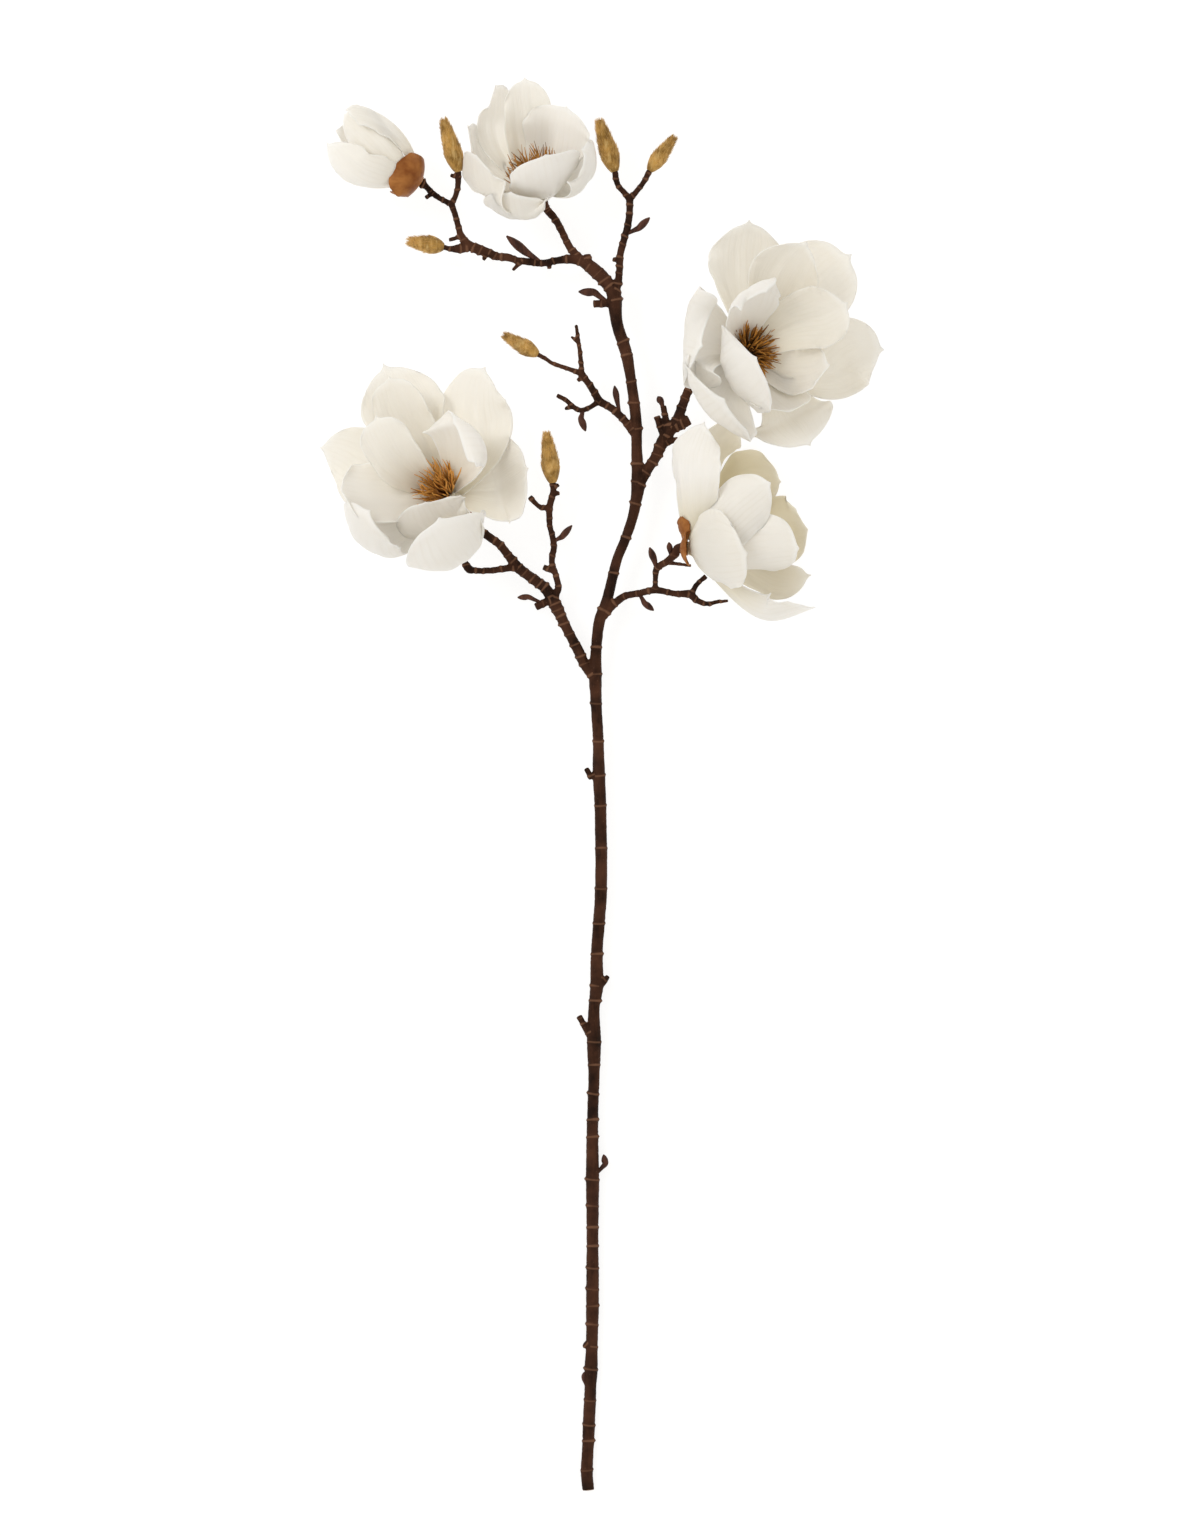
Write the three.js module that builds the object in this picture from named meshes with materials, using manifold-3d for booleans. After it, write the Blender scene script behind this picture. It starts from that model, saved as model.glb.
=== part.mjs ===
// A cut branch of saucer magnolia lying on its back: one woody stem with its forks, twigs and
// leaf buds, five blooms, and six furry flower buds that are still shut.
// Millimetres, +Z up. +Y runs up the stem from the cut end, +X is to the right of the branch.
import * as THREE from 'three';
import { mergeVertices } from 'three/addons/utils/BufferGeometryUtils.js';
import Module from 'manifold-3d';

const wasm = await Module();
wasm.setup();

// ---------------------------------------------------------------- driving dimensions
const GAP = 0.4; // clear space between two nodes that meet
const STEM_SIDES = 8;
const TWIG_SIDES = 5;
const RING_SWELL = 0.55; // how far a leaf-scar ring stands out of the bark
const TEPAL_THICKNESS = 0.8;
const CLAW_THICKNESS = 0.7; // added where a tepal joins its receptacle
const TEPAL_COLUMNS = 4;
const TEPAL_ROWS = 6;
const RECEPTACLE_RADIUS = 6.6;
const RECEPTACLE_DEPTH = 3.4; // below the heart
const RECEPTACLE_RISE = 2.6; // above the heart
const SCALE_COLLAR_HEIGHT = 2.6;
const SCALE_ROOT = 3.6; // how far from the bloom's axis a scale starts, inside its collar
const STAMEN_WIDTH = 1.3;
const FLOOR = 0;

// ---------------------------------------------------------------- colours of the materials
const BARK = { color: 0x4a3228, roughness: 0.72, metalness: 0 };
const TEPAL_WHITE = { color: 0xf3efe6, roughness: 0.55, metalness: 0 };
const STAMEN_BROWN = { color: 0xa9682f, roughness: 0.6, metalness: 0 };
const SCALE_COPPER = { color: 0x94541f, roughness: 0.5, metalness: 0 };
const FUR_TAN = { color: 0xb08a4c, roughness: 0.9, metalness: 0 };

// ---------------------------------------------------------------- the wood
// Every route point is [x, y, z, diameter].
const STEM = [
  [-10, -495.5, 3.95, 8.4], [-11, -482.5, 3.95, 8.6], [-10, -461.5, 3.95, 8.4],
  [-9.5, -448.5, 4.1, 8.8], [-8.5, -424, 4.4, 8.4], [-8, -409.5, 4.9, 9.4], [-7.5, -394, 5, 8.4],
  [-7, -360, 5.4, 9.2], [-7, -318, 6, 8.4], [-7, -276, 6.7, 9.4], [-7, -235, 7.4, 8],
  [-6, -206, 8, 7.9], [-6, -179, 8.4, 10.1], [-6, -157, 8.8, 8], [-4, -140.5, 9, 9.4],
  [-4, -118.5, 9.4, 8.5], [-2.5, -96.5, 9.8, 8.4], [-1, -71.5, 10.2, 8.6], [-1.5, -14, 11.5, 8.4],
  [-2.5, 7.5, 12, 8.8], [-3, 32, 12.7, 7.7], [-4.5, 60, 13.6, 8], [-5, 77.5, 14.2, 9.1],
  [-4.5, 95, 14.8, 7.7], [-2, 116, 15.6, 8], [3, 130, 16.2, 7.7], [6.5, 144, 16.8, 7.3],
  [10, 158, 17.4, 7], [15.5, 172, 18, 7], [20.5, 186, 18.8, 7.3], [23.5, 200, 19.5, 8],
  [25, 212, 20, 9.8], [24, 235, 21, 7.7], [23.5, 256, 21.8, 8], [20, 284, 22.6, 7.3],
  [17, 301.5, 23.1, 8.4], [10, 325, 23.7, 8.4], [8.5, 340, 24, 10.1], [7.5, 348.5, 24, 10.5],
];

// How far up the stem each leaf-scar ring sits.
const STEM_RINGS = [
  -481, -461, -449, -432, -410, -394, -378, -365, -353, -339, -324, -310, -296, -276, -247,
  -235, -216, -196, -179, -151, -141, -118, -96, -71, -43, -14, 8, 32, 58, 78, 97, 123, 149, 174,
  198, 213, 226, 250, 269, 283, 302, 311, 340,
];

const TWIGS = {
  left_branch: [
    [-6, 75.5, 14.2, 6.3], [-12, 84.5, 14.5, 7.3], [-17, 95, 14.8, 7.7], [-23, 106.5, 15, 6.9],
    [-28.5, 117.5, 15.3, 7.7], [-32.5, 126, 15.6, 9.1], [-40, 138.5, 16.2, 7.7],
    [-47, 144, 16.6, 7.7], [-54, 149, 17, 7.3], [-60.5, 154.5, 17.3, 7.7], [-65.5, 161, 17.8, 6.3],
    [-72.5, 169.5, 18, 5.9], [-82, 176.5, 17, 5.9], [-92, 185.5, 15, 5.9], [-100, 193.5, 14.5, 6],
  ],
  left_side_twig: [
    [-60, 153.5, 17.3, 4.9], [-68, 152.5, 18, 4.9], [-79, 151, 19, 4.5], [-89, 151, 20, 4.5],
    [-93.5, 152, 20.5, 5.9], [-97, 158, 21, 4.2],
  ],
  left_upper_twig: [
    [-34.5, 131.5, 15.6, 5.6], [-31, 138.5, 17, 4.9], [-32.5, 147, 18.5, 4.5],
    [-35.5, 157, 20, 4.5], [-34, 168.5, 21.5, 4.5], [-37, 183.5, 23, 4.2], [-37, 195.5, 24.5, 4.9],
    [-34.5, 206, 25.5, 4.5], [-35, 212.5, 26, 4.2],
  ],
  left_upper_side_stub: [
    [-37.5, 194.5, 24.5, 4.2], [-44, 195.5, 25.5, 3.5], [-47, 198, 26, 3.5], [-51, 202.5, 26.5, 4.2],
  ],
  right_branch: [
    [25, 209.5, 20, 6.3], [29, 216.5, 20.5, 7], [33, 224, 21, 7.3], [37.5, 231, 21.3, 7.7],
    [41.5, 240, 21.6, 8.8], [47, 249, 22, 9.1], [52, 256, 22, 7.7], [57, 269, 21, 6.6],
    [60, 276.5, 20, 6.3], [67.5, 285, 18, 6.3], [79.5, 292, 15.5, 6.3], [89.5, 297, 15, 6.3],
  ],
  right_blunt_stub: [[48.5, 250.5, 22, 7.7], [55, 253.5, 22.6, 8.4], [61, 256.5, 23, 7.3]],
  right_bud_twig: [[46, 249, 22, 4.9], [44, 259, 24, 4.5], [42.5, 266, 25.5, 4.5]],
  lower_right_twig: [
    [0.5, 119, 15.6, 6.3], [6, 125.5, 17, 5.9], [11, 130, 19, 5.6], [15.5, 133, 21, 5.2],
    [26, 135, 24.5, 4.9], [37, 137, 28, 4.9], [51, 134.5, 29, 4.4], [61, 134, 29, 5.6],
    [66, 130, 28.5, 4.5], [72.5, 127.5, 28, 3.5], [81, 129, 27.5, 2.8], [88, 129.5, 27, 2.2],
  ],
  lower_right_fork: [[62, 133.5, 29, 3.8], [65, 139.5, 30, 3.8], [68, 143, 31, 3.5], [72.5, 146.5, 32, 3.8]],
  lower_right_up: [
    [37, 136, 28, 4.2], [37, 144, 32, 3.8], [38, 152, 36, 4.9], [45, 156.5, 42, 4.9],
    [50, 161, 46, 5.6],
  ],
  upper_left_twig: [
    [21.5, 247, 21.6, 4.9], [15.5, 256, 22.2, 5.6], [9.5, 262, 22.8, 5.6], [4, 266, 23.4, 5.6],
    [-2, 269.5, 24, 5.9], [-6, 276, 24.6, 5.2], [-10, 282, 25.2, 4.9], [-15, 289, 25.8, 5.2],
  ],
  bud_e_twig: [
    [-14.5, 288.5, 25.8, 4.2], [-24, 292, 26.4, 3.4], [-35.5, 296, 27, 3.1], [-40, 299, 27.4, 3.1],
    [-45.5, 302, 27.6, 3.5],
  ],
  upright_twig: [
    [-14.5, 287, 25.8, 4.2], [-15, 297, 27, 3.5], [-16.5, 308.5, 28.5, 3.1], [-18.5, 322.5, 30, 2.5],
  ],
  hanging_twig: [
    [-2, 270, 24, 4.2], [-5, 267.5, 24.3, 3.8], [-10, 264.5, 24.6, 3.8], [-15.5, 263, 24.8, 3.8],
    [-20.5, 265.5, 25, 3.8], [-25.5, 270, 25.2, 3.5], [-32, 273.5, 25.5, 3.1],
  ],
  top_left_thick: [
    [7.5, 346, 24, 9.1], [1, 355, 24, 9.8], [-6, 361.5, 23.6, 9.8], [-13.5, 367.5, 23, 8.4],
  ],
  top_bloom_twig: [
    [-12, 366, 23, 6.3], [-19, 373, 21, 5.6], [-23.5, 378.5, 19.5, 5.3], [-29, 390, 17, 5.2],
    [-34, 399, 14, 5.2], [-39, 404.5, 13.5, 5.3],
  ],
  top_left_long: [
    [-12, 367, 23, 6.3], [-23, 369, 23.4, 6.6], [-31, 368, 23.8, 5.2], [-43, 366, 24.2, 4.9],
    [-51.5, 367, 24.6, 5.2], [-60, 368, 25, 4.9], [-66, 370, 25.3, 5.6], [-73, 370.5, 25.6, 5.6],
    [-79.5, 373, 25.8, 6.3], [-86.5, 375.5, 26, 7.3], [-93.5, 378.5, 26, 6.6],
    [-99, 385.5, 26.4, 4.9], [-101, 392, 26.8, 4.5], [-103, 399.5, 27.2, 4.3],
    [-106, 408, 27.5, 4.9],
  ],
  opening_bloom_twig: [[-104.5, 406.5, 27.5, 4.2], [-113.5, 411, 26.4, 3.9], [-119.5, 415.5, 25, 4.2]],
  bud_a_twig: [
    [-106, 406, 27.5, 4.2], [-102.5, 413.5, 28, 3.9], [-101, 421.5, 28.5, 4.2], [-101, 430, 29, 4.5],
  ],
  bud_b_twig: [
    [-91.5, 377.5, 26, 5.6], [-100, 376, 26.5, 6.6], [-107, 376, 27, 3.8], [-111.5, 377, 27.5, 3.8],
  ],
  top_right_twig: [
    [8, 345, 24, 7], [11, 353, 24, 5.6], [12, 362.5, 24.4, 4.9], [12.5, 372.5, 24.8, 5.2],
    [15, 382, 25.2, 4.9], [18, 393.5, 25.6, 5.2], [19, 403, 26, 4.9], [19, 412.5, 26.4, 5.6],
  ],
  bud_c_twig: [[19, 410, 26.4, 4.5], [15.5, 415, 27, 4.2], [11, 420, 27.6, 4.1], [8.5, 430, 28.4, 4.5]],
  bud_d_twig: [[18.5, 410, 26.4, 4.5], [23, 415, 26.8, 4.2], [28.5, 422, 27.4, 3.9], [33, 430.5, 28, 4.5]],
};

// Broken side shoots, spurs and knobs: where each starts in the wood, and its blunt end.
const STUBS = [
  [[-7.5, 5, 12, 4.2], [-11.5, 12.5, 13, 3.8]],
  [[-0.5, -140, 9, 4.2], [4, -133.5, 10, 3.5]],
  [[-9, -175.5, 8.4, 4.9], [-16.5, -161.5, 10, 4.2]],
  [[-35.5, 131, 15.8, 5.6], [-47, 125.5, 17, 5.6]],
  [[-35.5, 151, 19, 4.2], [-41.5, 153.5, 20, 4.2]],
  [[-34.5, 204.5, 25.5, 3.5], [-30, 205, 26, 3.1]],
  [[-34.8, 208.5, 25.7, 3.3], [-30.5, 211, 26, 2.9]],
  [[43, 239.5, 21.6, 4.2], [53, 243, 23, 3.5]],
  [[41.5, 248, 22, 4.9], [38, 259, 23.5, 4.5]],
  [[44, 156, 41, 2.8], [62, 153.5, 42, 2.1]],
  [[-20.5, 265.5, 25, 3.1], [-26.5, 264, 25.4, 2.5]],
  [[-17, 310, 28.6, 2.5], [-22, 314.5, 29, 2.1]],
  [[-13.5, 287, 25.8, 3.5], [-17.5, 283.5, 26, 3.1]],
  [[-10, 365.5, 23.3, 5.6], [-10.5, 372.5, 24, 4.9]],
  [[-119, 415, 25, 3.4], [-124, 411.5, 25.4, 2.8]],
  [[-101, 426.5, 28.8, 3.1], [-106.5, 427, 29, 2.8]],
  [[-98.5, 384.5, 26.4, 3.1], [-107.5, 382, 27, 2.8]],
  [[-81, 372.5, 25.8, 3.1], [-83.5, 368, 26, 2.8]],
  [[-56.5, 367.5, 24.8, 3.5], [-63, 361, 25.4, 2.5]],
  [[-38, 367, 24, 3.1], [-37, 362, 24.2, 2.8]],
  [[12, 367.5, 24.6, 3.5], [7, 369, 25, 2.9]],
  [[4, 338, 24, 5.6], [-6.5, 337.5, 25, 5.2]],
  [[-9, -395, 5, 4.2], [-13.5, -392.5, 5.6, 3.5]],
];

// Small pointed leaf buds: base in the wood, middle, tip, and greatest width.
const LEAF_BUDS = [
  { base: [-4, -272.5, 7], middle: [2, -265.5, 7.6], tip: [0.5, -257.5, 8.4], width: 4.2 },
  { base: [-11, -423.5, 5], middle: [-13, -417, 5.2], tip: [-12.7, -411, 5.6], width: 3.4 },
  { base: [-41.5, 128, 16], middle: [-52, 132.5, 18], tip: [-61.5, 132, 20], width: 3.8 },
  { base: [-34, 171.5, 21.6], middle: [-28.5, 174.5, 23], tip: [-19.5, 184.5, 25], width: 4.2 },
  { base: [42.5, 264.5, 25.4], middle: [41, 269, 26], tip: [38, 273.5, 27], width: 4.5 },
  { base: [38, 151, 36], middle: [36, 158, 38], tip: [32, 168.5, 41], width: 4.5 },
  { base: [48, 159, 44], middle: [47, 164.5, 46], tip: [46, 171, 48], width: 3.8 },
  { base: [25.5, 135, 24.4], middle: [29.5, 128, 25], tip: [37.5, 121.5, 26.5], width: 4.2 },
  { base: [-13.5, 264, 24.8], middle: [-15, 257, 25.6], tip: [-11, 246, 26.5], width: 4.5 },
  { base: [12, 261, 22.6], middle: [10, 271, 24], tip: [8, 282.5, 26], width: 4.1 },
  { base: [-44.5, 367.5, 24.2], middle: [-54, 374, 25.6], tip: [-70.5, 387.5, 28], width: 5.7 },
  { base: [17, 386.5, 25.4], middle: [25.5, 390.5, 26.4], tip: [35, 399.5, 28], width: 4.5 },
  { base: [4.5, 338, 24], middle: [-6, 345.5, 25], tip: [-19.5, 346, 27], width: 5.2 },
];

// ---------------------------------------------------------------- the blooms
// A tepal leaves the heart at `flare` degrees from the bloom's axis and reaches its tip at `lift`
// degrees from it. `facing` is the side of the axis that it stands on (its tip's side, where it is
// left out), `wide` its greatest width, `cup` how far round its sides curl, `roll` a turn about
// its own midrib and `sway` a sideways bow. `reach` says how long its two bends are. It starts
// `root` from the axis and `rise` above the heart.
const PLAIN_TEPAL = {
  root: 5, wide: 56, flare: 85, lift: 20, cup: 35, roll: 0, sway: 0, rise: 0, curl: 0,
  widest: 0.58, claw: 0.2, blunt: 2.2, reach: [0.36, 0.36],
};

const BLOOMS = {
  bloom_left: {
    heart: [-108.5, 204, 34],
    axis: [-0.3, 0.34, 0.88],
    stamens: { count: 30, lean: [-0.5, 0.38, 0.75], spread: 30, length: 20 },
    tepals: [
      { tip: [-46, 94, -33.8], wide: 62, flare: 80, lift: 75, cup: 30, roll: 15, sway: 4,
        widest: 0.65, reach: [0.7, 0.6] },
      { tip: [-41, 83, -12], wide: 42, flare: 95, lift: 65, cup: 25, rise: 1, roll: -10, sway: 8,
        blunt: 3, reach: [0.25, 0.4] },
      { tip: [26, 90, -16], facing: [0.6, 0.8, 0], flare: 100, lift: 65, cup: 20, claw: 0.4,
        reach: [0.6, 0.45] },
      { tip: [58, 17, 14], facing: [1, 0.1, 0], wide: 66, flare: 110, lift: 55, cup: 20,
        widest: 0.75, claw: 0.4, blunt: 3, reach: [0.65, 0.85] },
      { tip: [-4, -19, 55], facing: [0.45, -0.9, 0], wide: 80, flare: 110, lift: -40, cup: 70,
        roll: 10, sway: -7, reach: [1.25, 0.7] },
      { tip: [-53, -13, 41], facing: [-0.6, -0.8, 0], wide: 66, flare: 105, lift: -65, cup: 70,
        sway: -10, reach: [1.15, 0.55] },
      { tip: [-90, 34, -28], facing: [-1, 0.2, 0], wide: 62, flare: 90, lift: 90, roll: -30,
        sway: 3, widest: 0.5, blunt: 1.7, reach: [0.45, 0.4] },
      { tip: [-72, 2, 28], facing: [-0.95, -0.3, 0], wide: 55, flare: 70, lift: 0, cup: 40, rise: 2,
        sway: 2, reach: [0.25, 0.25] },
      { tip: [-14, -7, 41], facing: [0.4, -1, 0], flare: 100, lift: -20, cup: 40, rise: 2, roll: 5,
        sway: -7, reach: [1, 0.4] },
      { tip: [-49, 53, 31], wide: 38, flare: 75, lift: 65, cup: 45, rise: 2, roll: -15, sway: 15,
        widest: 0.7, blunt: 3, reach: [0.25, 0.5] },
      { tip: [5, 48, 36], facing: [0.6, 0.8, 0], wide: 82, flare: 70, lift: -60, cup: 80, rise: 2,
        sway: -10, blunt: 3, reach: [0.7, 0.3] },
    ],
    scales: [
      { tip: [17, -9, -1], facing: [0.8, -0.5, 0], wide: 13, flare: 92, lift: 40, cup: 30 },
    ],
  },
  bloom_right: {
    heart: [101.5, 303, 36],
    axis: [0.38, 0.2, 0.9],
    stamens: { count: 34, lean: [0.38, 0.2, 0.9], spread: 44, length: 19 },
    tepals: [
      { tip: [1, 94, -12], wide: 64, flare: 95, lift: 45, cup: 25, roll: 5, sway: -5,
        reach: [0.55, 0.55] },
      { tip: [74, 71, -28], wide: 60, flare: 80, lift: 50, cup: 20, sway: 4, widest: 0.7, blunt: 3,
        reach: [0.75, 0.6] },
      { tip: [97, 4, -35.8], facing: [1, -0.2, 0], flare: 100, lift: 75, cup: 45, roll: 15,
        sway: -5, widest: 0.65, reach: [0.9, 0.45] },
      { tip: [44, -65, -2], facing: [0.65, -0.75, 0], wide: 64, flare: 110, lift: 75, cup: 20,
        roll: -5, sway: 5, widest: 0.65, blunt: 2.5, reach: [1, 0.5] },
      { tip: [-18, -36, 46], facing: [-0.7, -0.75, 0], wide: 84, flare: 110, lift: -30, cup: 50,
        roll: -5, reach: [0.8, 0.6] },
      { tip: [-32, 1, 40], facing: [-1, 0.1, 0], wide: 82, flare: 90, lift: -45, cup: 65, roll: 5,
        sway: -8, blunt: 2, reach: [0.8, 0.65] },
      { tip: [41, 75, 9], wide: 54, flare: 75, lift: 25, rise: 1, sway: 2, widest: 0.55, blunt: 2,
        reach: [0.6, 0.45] },
      { tip: [69, 34, 6], facing: [0.8, 0.6, 0], wide: 46, flare: 55, lift: 45, cup: 30, rise: 2,
        roll: -5, claw: 0.5, blunt: 2.5, reach: [0.65, 0.45] },
      { tip: [55, -9, 14], facing: [0.95, -0.4, 0], wide: 40, flare: 90, lift: 5, cup: 45, rise: 2,
        roll: 5, sway: -10, widest: 0.75, claw: 0.45, blunt: 3, reach: [0.4, 0.5] },
      { tip: [28, -42, 24], facing: [0.2, -1, 0], wide: 54, flare: 100, lift: 15, cup: 40, rise: 1,
        roll: -5, widest: 0.7, blunt: 2, reach: [0.4, 0.3] },
      { tip: [5, -7, 43], facing: [-0.7, -0.7, 0], wide: 74, flare: 105, lift: -70, cup: 45,
        rise: 2, roll: -20, sway: -4, widest: 0.65, blunt: 2.5, reach: [0.85, 0.6] },
      { tip: [12, 38, 34], facing: [-0.6, 0.8, 0], flare: 60, lift: -75, cup: 58, rise: 2, roll: -5,
        sway: -3, widest: 0.45, blunt: 2.5, reach: [0.55, 0.5] },
    ],
    scales: [],
  },
  bloom_top: {
    heart: [-42.5, 417, 28],
    axis: [-0.15, 0.62, 0.77],
    stamens: { count: 26, lean: [-0.15, 0.62, 0.77], spread: 36, length: 22 },
    tepals: [
      { tip: [-32, 74, -7], facing: [-0.75, 0.65, 0], wide: 36, flare: 75, lift: -10, sway: -3,
        blunt: 1.8, reach: [0.65, 0.35] },
      { tip: [-12, 79, -2], facing: [-0.2, 0.7, -0.6], wide: 38, flare: 105, lift: 45, cup: 45,
        sway: 5, widest: 0.55, blunt: 2.5, reach: [0.3, 0.4] },
      { tip: [14, 53, 14], facing: [0.6, 0.7, -0.4], wide: 58, flare: 75, lift: -5, curl: 6,
        widest: 0.65, blunt: 3, reach: [0.25, 0.25] },
      { tip: [-51, 45, 2], facing: [-1, -0.1, -0.1], wide: 34, flare: 70, lift: 0, cup: 40,
        roll: -5, blunt: 3, reach: [0.6, 0.65] },
      { tip: [-21, -5, 37], facing: [-0.3, -0.8, 0.5], wide: 58, flare: 95, lift: -20, cup: 70,
        roll: 5, sway: -2, reach: [0.9, 0.6] },
      { tip: [-45, 20, 38], facing: [-0.7, -0.6, 0.3], wide: 48, flare: 80, lift: 5, cup: 20,
        sway: -6, widest: 0.55, reach: [0.85, 0.45] },
      { tip: [28, 25, 32], facing: [0.95, -0.15, 0.3], wide: 60, flare: 105, lift: -30, cup: 75,
        sway: 12, widest: 0.42, blunt: 1.6, reach: [0.65, 0.55] },
      { tip: [3, 20, 44], facing: [0.5, -0.9, 0], wide: 60, lift: -40, cup: 50, roll: -5, sway: -3,
        reach: [0.4, 0.25] },
    ],
    scales: [],
  },
  bloom_low: {
    heart: [63, 165.5, 50],
    axis: [0.97, 0, 0.2],
    stamens: { count: 12, lean: [0.97, 0, 0.2], spread: 24, length: 18 },
    tepals: [
      { tip: [8, 87, 12], facing: [0, 0.97, 0.25], wide: 48, lift: 60, cup: 40, roll: 60, sway: 15,
        claw: 0.5, blunt: 1.8, reach: [0.55, 0.35] },
      { tip: [33, 87, -28], facing: [0.1, 0.7, -0.7], wide: 34, lift: 5, cup: 50, sway: -10,
        widest: 0.75, blunt: 3, reach: [0.7, 0.35] },
      { tip: [63, 48, -30], facing: [0.1, 0.7, -0.7], wide: 50, flare: 75, lift: -25, cup: 20,
        roll: -20, sway: -6, reach: [0.9, 0.4] },
      { tip: [80, 14, -33], facing: [0.2, 0.4, -0.9], wide: 58, flare: 55, lift: -45, sway: -7,
        blunt: 1.8, reach: [0.9, 0.25] },
      { tip: [83, -17, -32], facing: [0.2, 0.3, -0.9], wide: 40, flare: 80, lift: 30, cup: 55,
        roll: 15, sway: -7, reach: [0.95, 0.5] },
      { tip: [85, -40, -3], facing: [0.1, -0.9, -0.4], wide: 58, flare: 55, lift: -5, cup: 70,
        roll: -35, sway: 3, widest: 0.5, blunt: 1.7, reach: [1.05, 0.45] },
      { tip: [73, 0, 21], facing: [-0.2, -0.45, 0.9], wide: 58, flare: 55, lift: -10, cup: 75,
        roll: 5, claw: 0.15, reach: [0.25, 0.25] },
      { tip: [53, 44, 29], facing: [-0.2, 0.15, 1], wide: 50, flare: 75, lift: -15, cup: 60,
        roll: 5, sway: 10, widest: 0.5, blunt: 2, reach: [0.25, 0.25] },
      { tip: [37, -5, 38], facing: [-0.2, -0.2, 1], wide: 68, flare: 100, lift: 10, cup: 55,
        roll: 15, sway: 4, reach: [0.25, 0.55] },
    ],
    scales: [
      { tip: [-2, 22, 4], facing: [-0.1, 0.9, 0.3], wide: 14, flare: 100, lift: 75, cup: 35, roll: 50 },
      { tip: [0, -1, 19], facing: [0, -0.1, 1], wide: 28, flare: 115, lift: 30, cup: 55,
        widest: 0.5, claw: 0.8, reach: [0.5, 0.4] },
    ],
  },
  bloom_opening: {
    heart: [-132.5, 425.5, 28],
    axis: [-0.8, 0.52, 0.22],
    stamens: null,
    tepals: [
      { tip: [-53, 34, -2], facing: [-0.4, -0.2, -0.9], wide: 34, flare: 55, lift: -30, cup: 55,
        roll: 20, reach: [0.8, 0.3] },
      { tip: [-47, 42, 16], facing: [0.1, -0.2, 1], wide: 36, flare: 55, lift: -65, cup: 75,
        roll: -5, reach: [0.65, 0.25] },
      { tip: [-60, 23, 16], facing: [-0.3, -0.7, 0.6], wide: 46, flare: 55, lift: -50, cup: 80,
        sway: 15, reach: [0.25, 0.85] },
      { tip: [-46, 44, 25], facing: [0.6, 0.7, 0.4], wide: 34, flare: 55, lift: -65, cup: 50,
        widest: 0.55, blunt: 2.5, reach: [0.45, 0.25] },
    ],
    scales: [
      { tip: [-17, 8, 27], facing: [0, 0.1, 1], wide: 36, flare: 90, lift: -35, cup: 50, roll: 8,
        widest: 0.5, claw: 0.8, blunt: 3, reach: [0.7, 0.4] },
      { tip: [-20, -7, 4], facing: [-0.2, -0.9, 0], wide: 18, flare: 85, lift: -10, cup: 50, claw: 0.5 },
    ],
  },
};

// Shut flower buds in their furry coats: base, tip and greatest width.
const FURRY_BUDS = {
  bud_upper_left: { base: [-101, 430.9, 29.1], tip: [-111, 465.5, 33], wide: 13.5 },
  bud_far_left: { base: [-112.3, 377.3, 27.6], tip: [-135.5, 381, 29], wide: 13 },
  bud_top_left: { base: [8.3, 431, 28.5], tip: [-2.5, 465.5, 30], wide: 14 },
  bud_top_right: { base: [33.5, 431.4, 28.1], tip: [50, 453.5, 29], wide: 11.5 },
  bud_mid_left: { base: [-46.3, 302.5, 27.7], tip: [-68.5, 315, 29], wide: 11.5 },
  bud_low_left: { base: [-35, 213.5, 26.2], tip: [-39, 246.5, 29], wide: 13.3 },
};

// The shape of a furry bud: the share of its length, and its width there as a share of the greatest.
const FURRY_SHAPE = [
  [0, 0.36], [0.08, 0.62], [0.25, 0.97], [0.4, 1], [0.62, 0.78], [0.82, 0.52], [0.95, 0.34], [1, 0.16],
];

// ---------------------------------------------------------------- helpers
const vec = (a) => new THREE.Vector3(a[0], a[1], a[2]);
const radians = THREE.MathUtils.degToRad;

// A small repeatable source of random numbers in 0..1.
function seeded(seed) {
  let state = seed;
  return () => {
    state = (state * 1664525 + 1013904223) % 4294967296;
    return state / 4294967296;
  };
}

// Any direction square to `axis`, chosen alike every time.
function squareTo(axis) {
  const helper = Math.abs(axis.z) < 0.8 ? new THREE.Vector3(0, 0, 1) : new THREE.Vector3(1, 0, 0);
  return helper.addScaledVector(axis, -helper.dot(axis)).normalize();
}

function toSolid(geometry) {
  const bare = geometry.clone();
  bare.deleteAttribute('normal');
  bare.deleteAttribute('uv');
  const merged = mergeVertices(bare, 1e-4);
  return new wasm.Manifold(new wasm.Mesh({
    numProp: 3,
    vertProperties: new Float32Array(merged.attributes.position.array),
    triVerts: new Uint32Array(merged.index.array),
  }));
}

function toMesh(name, solid, look) {
  const data = solid.getMesh();
  const geometry = new THREE.BufferGeometry();
  geometry.setAttribute('position', new THREE.BufferAttribute(new Float32Array(data.vertProperties), 3));
  geometry.setIndex(new THREE.BufferAttribute(new Uint32Array(data.triVerts), 1));
  geometry.computeVertexNormals();
  const mesh = new THREE.Mesh(geometry, new THREE.MeshStandardMaterial(look));
  mesh.name = name;
  return mesh;
}

function fuse(solids) {
  return solids.reduce((whole, piece) => whole.add(piece));
}

// The largest body of a solid that a cut has left in several.
function mainBody(solid) {
  return solid.decompose().reduce((best, body) => (body.volume() > best.volume() ? body : best));
}

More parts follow.
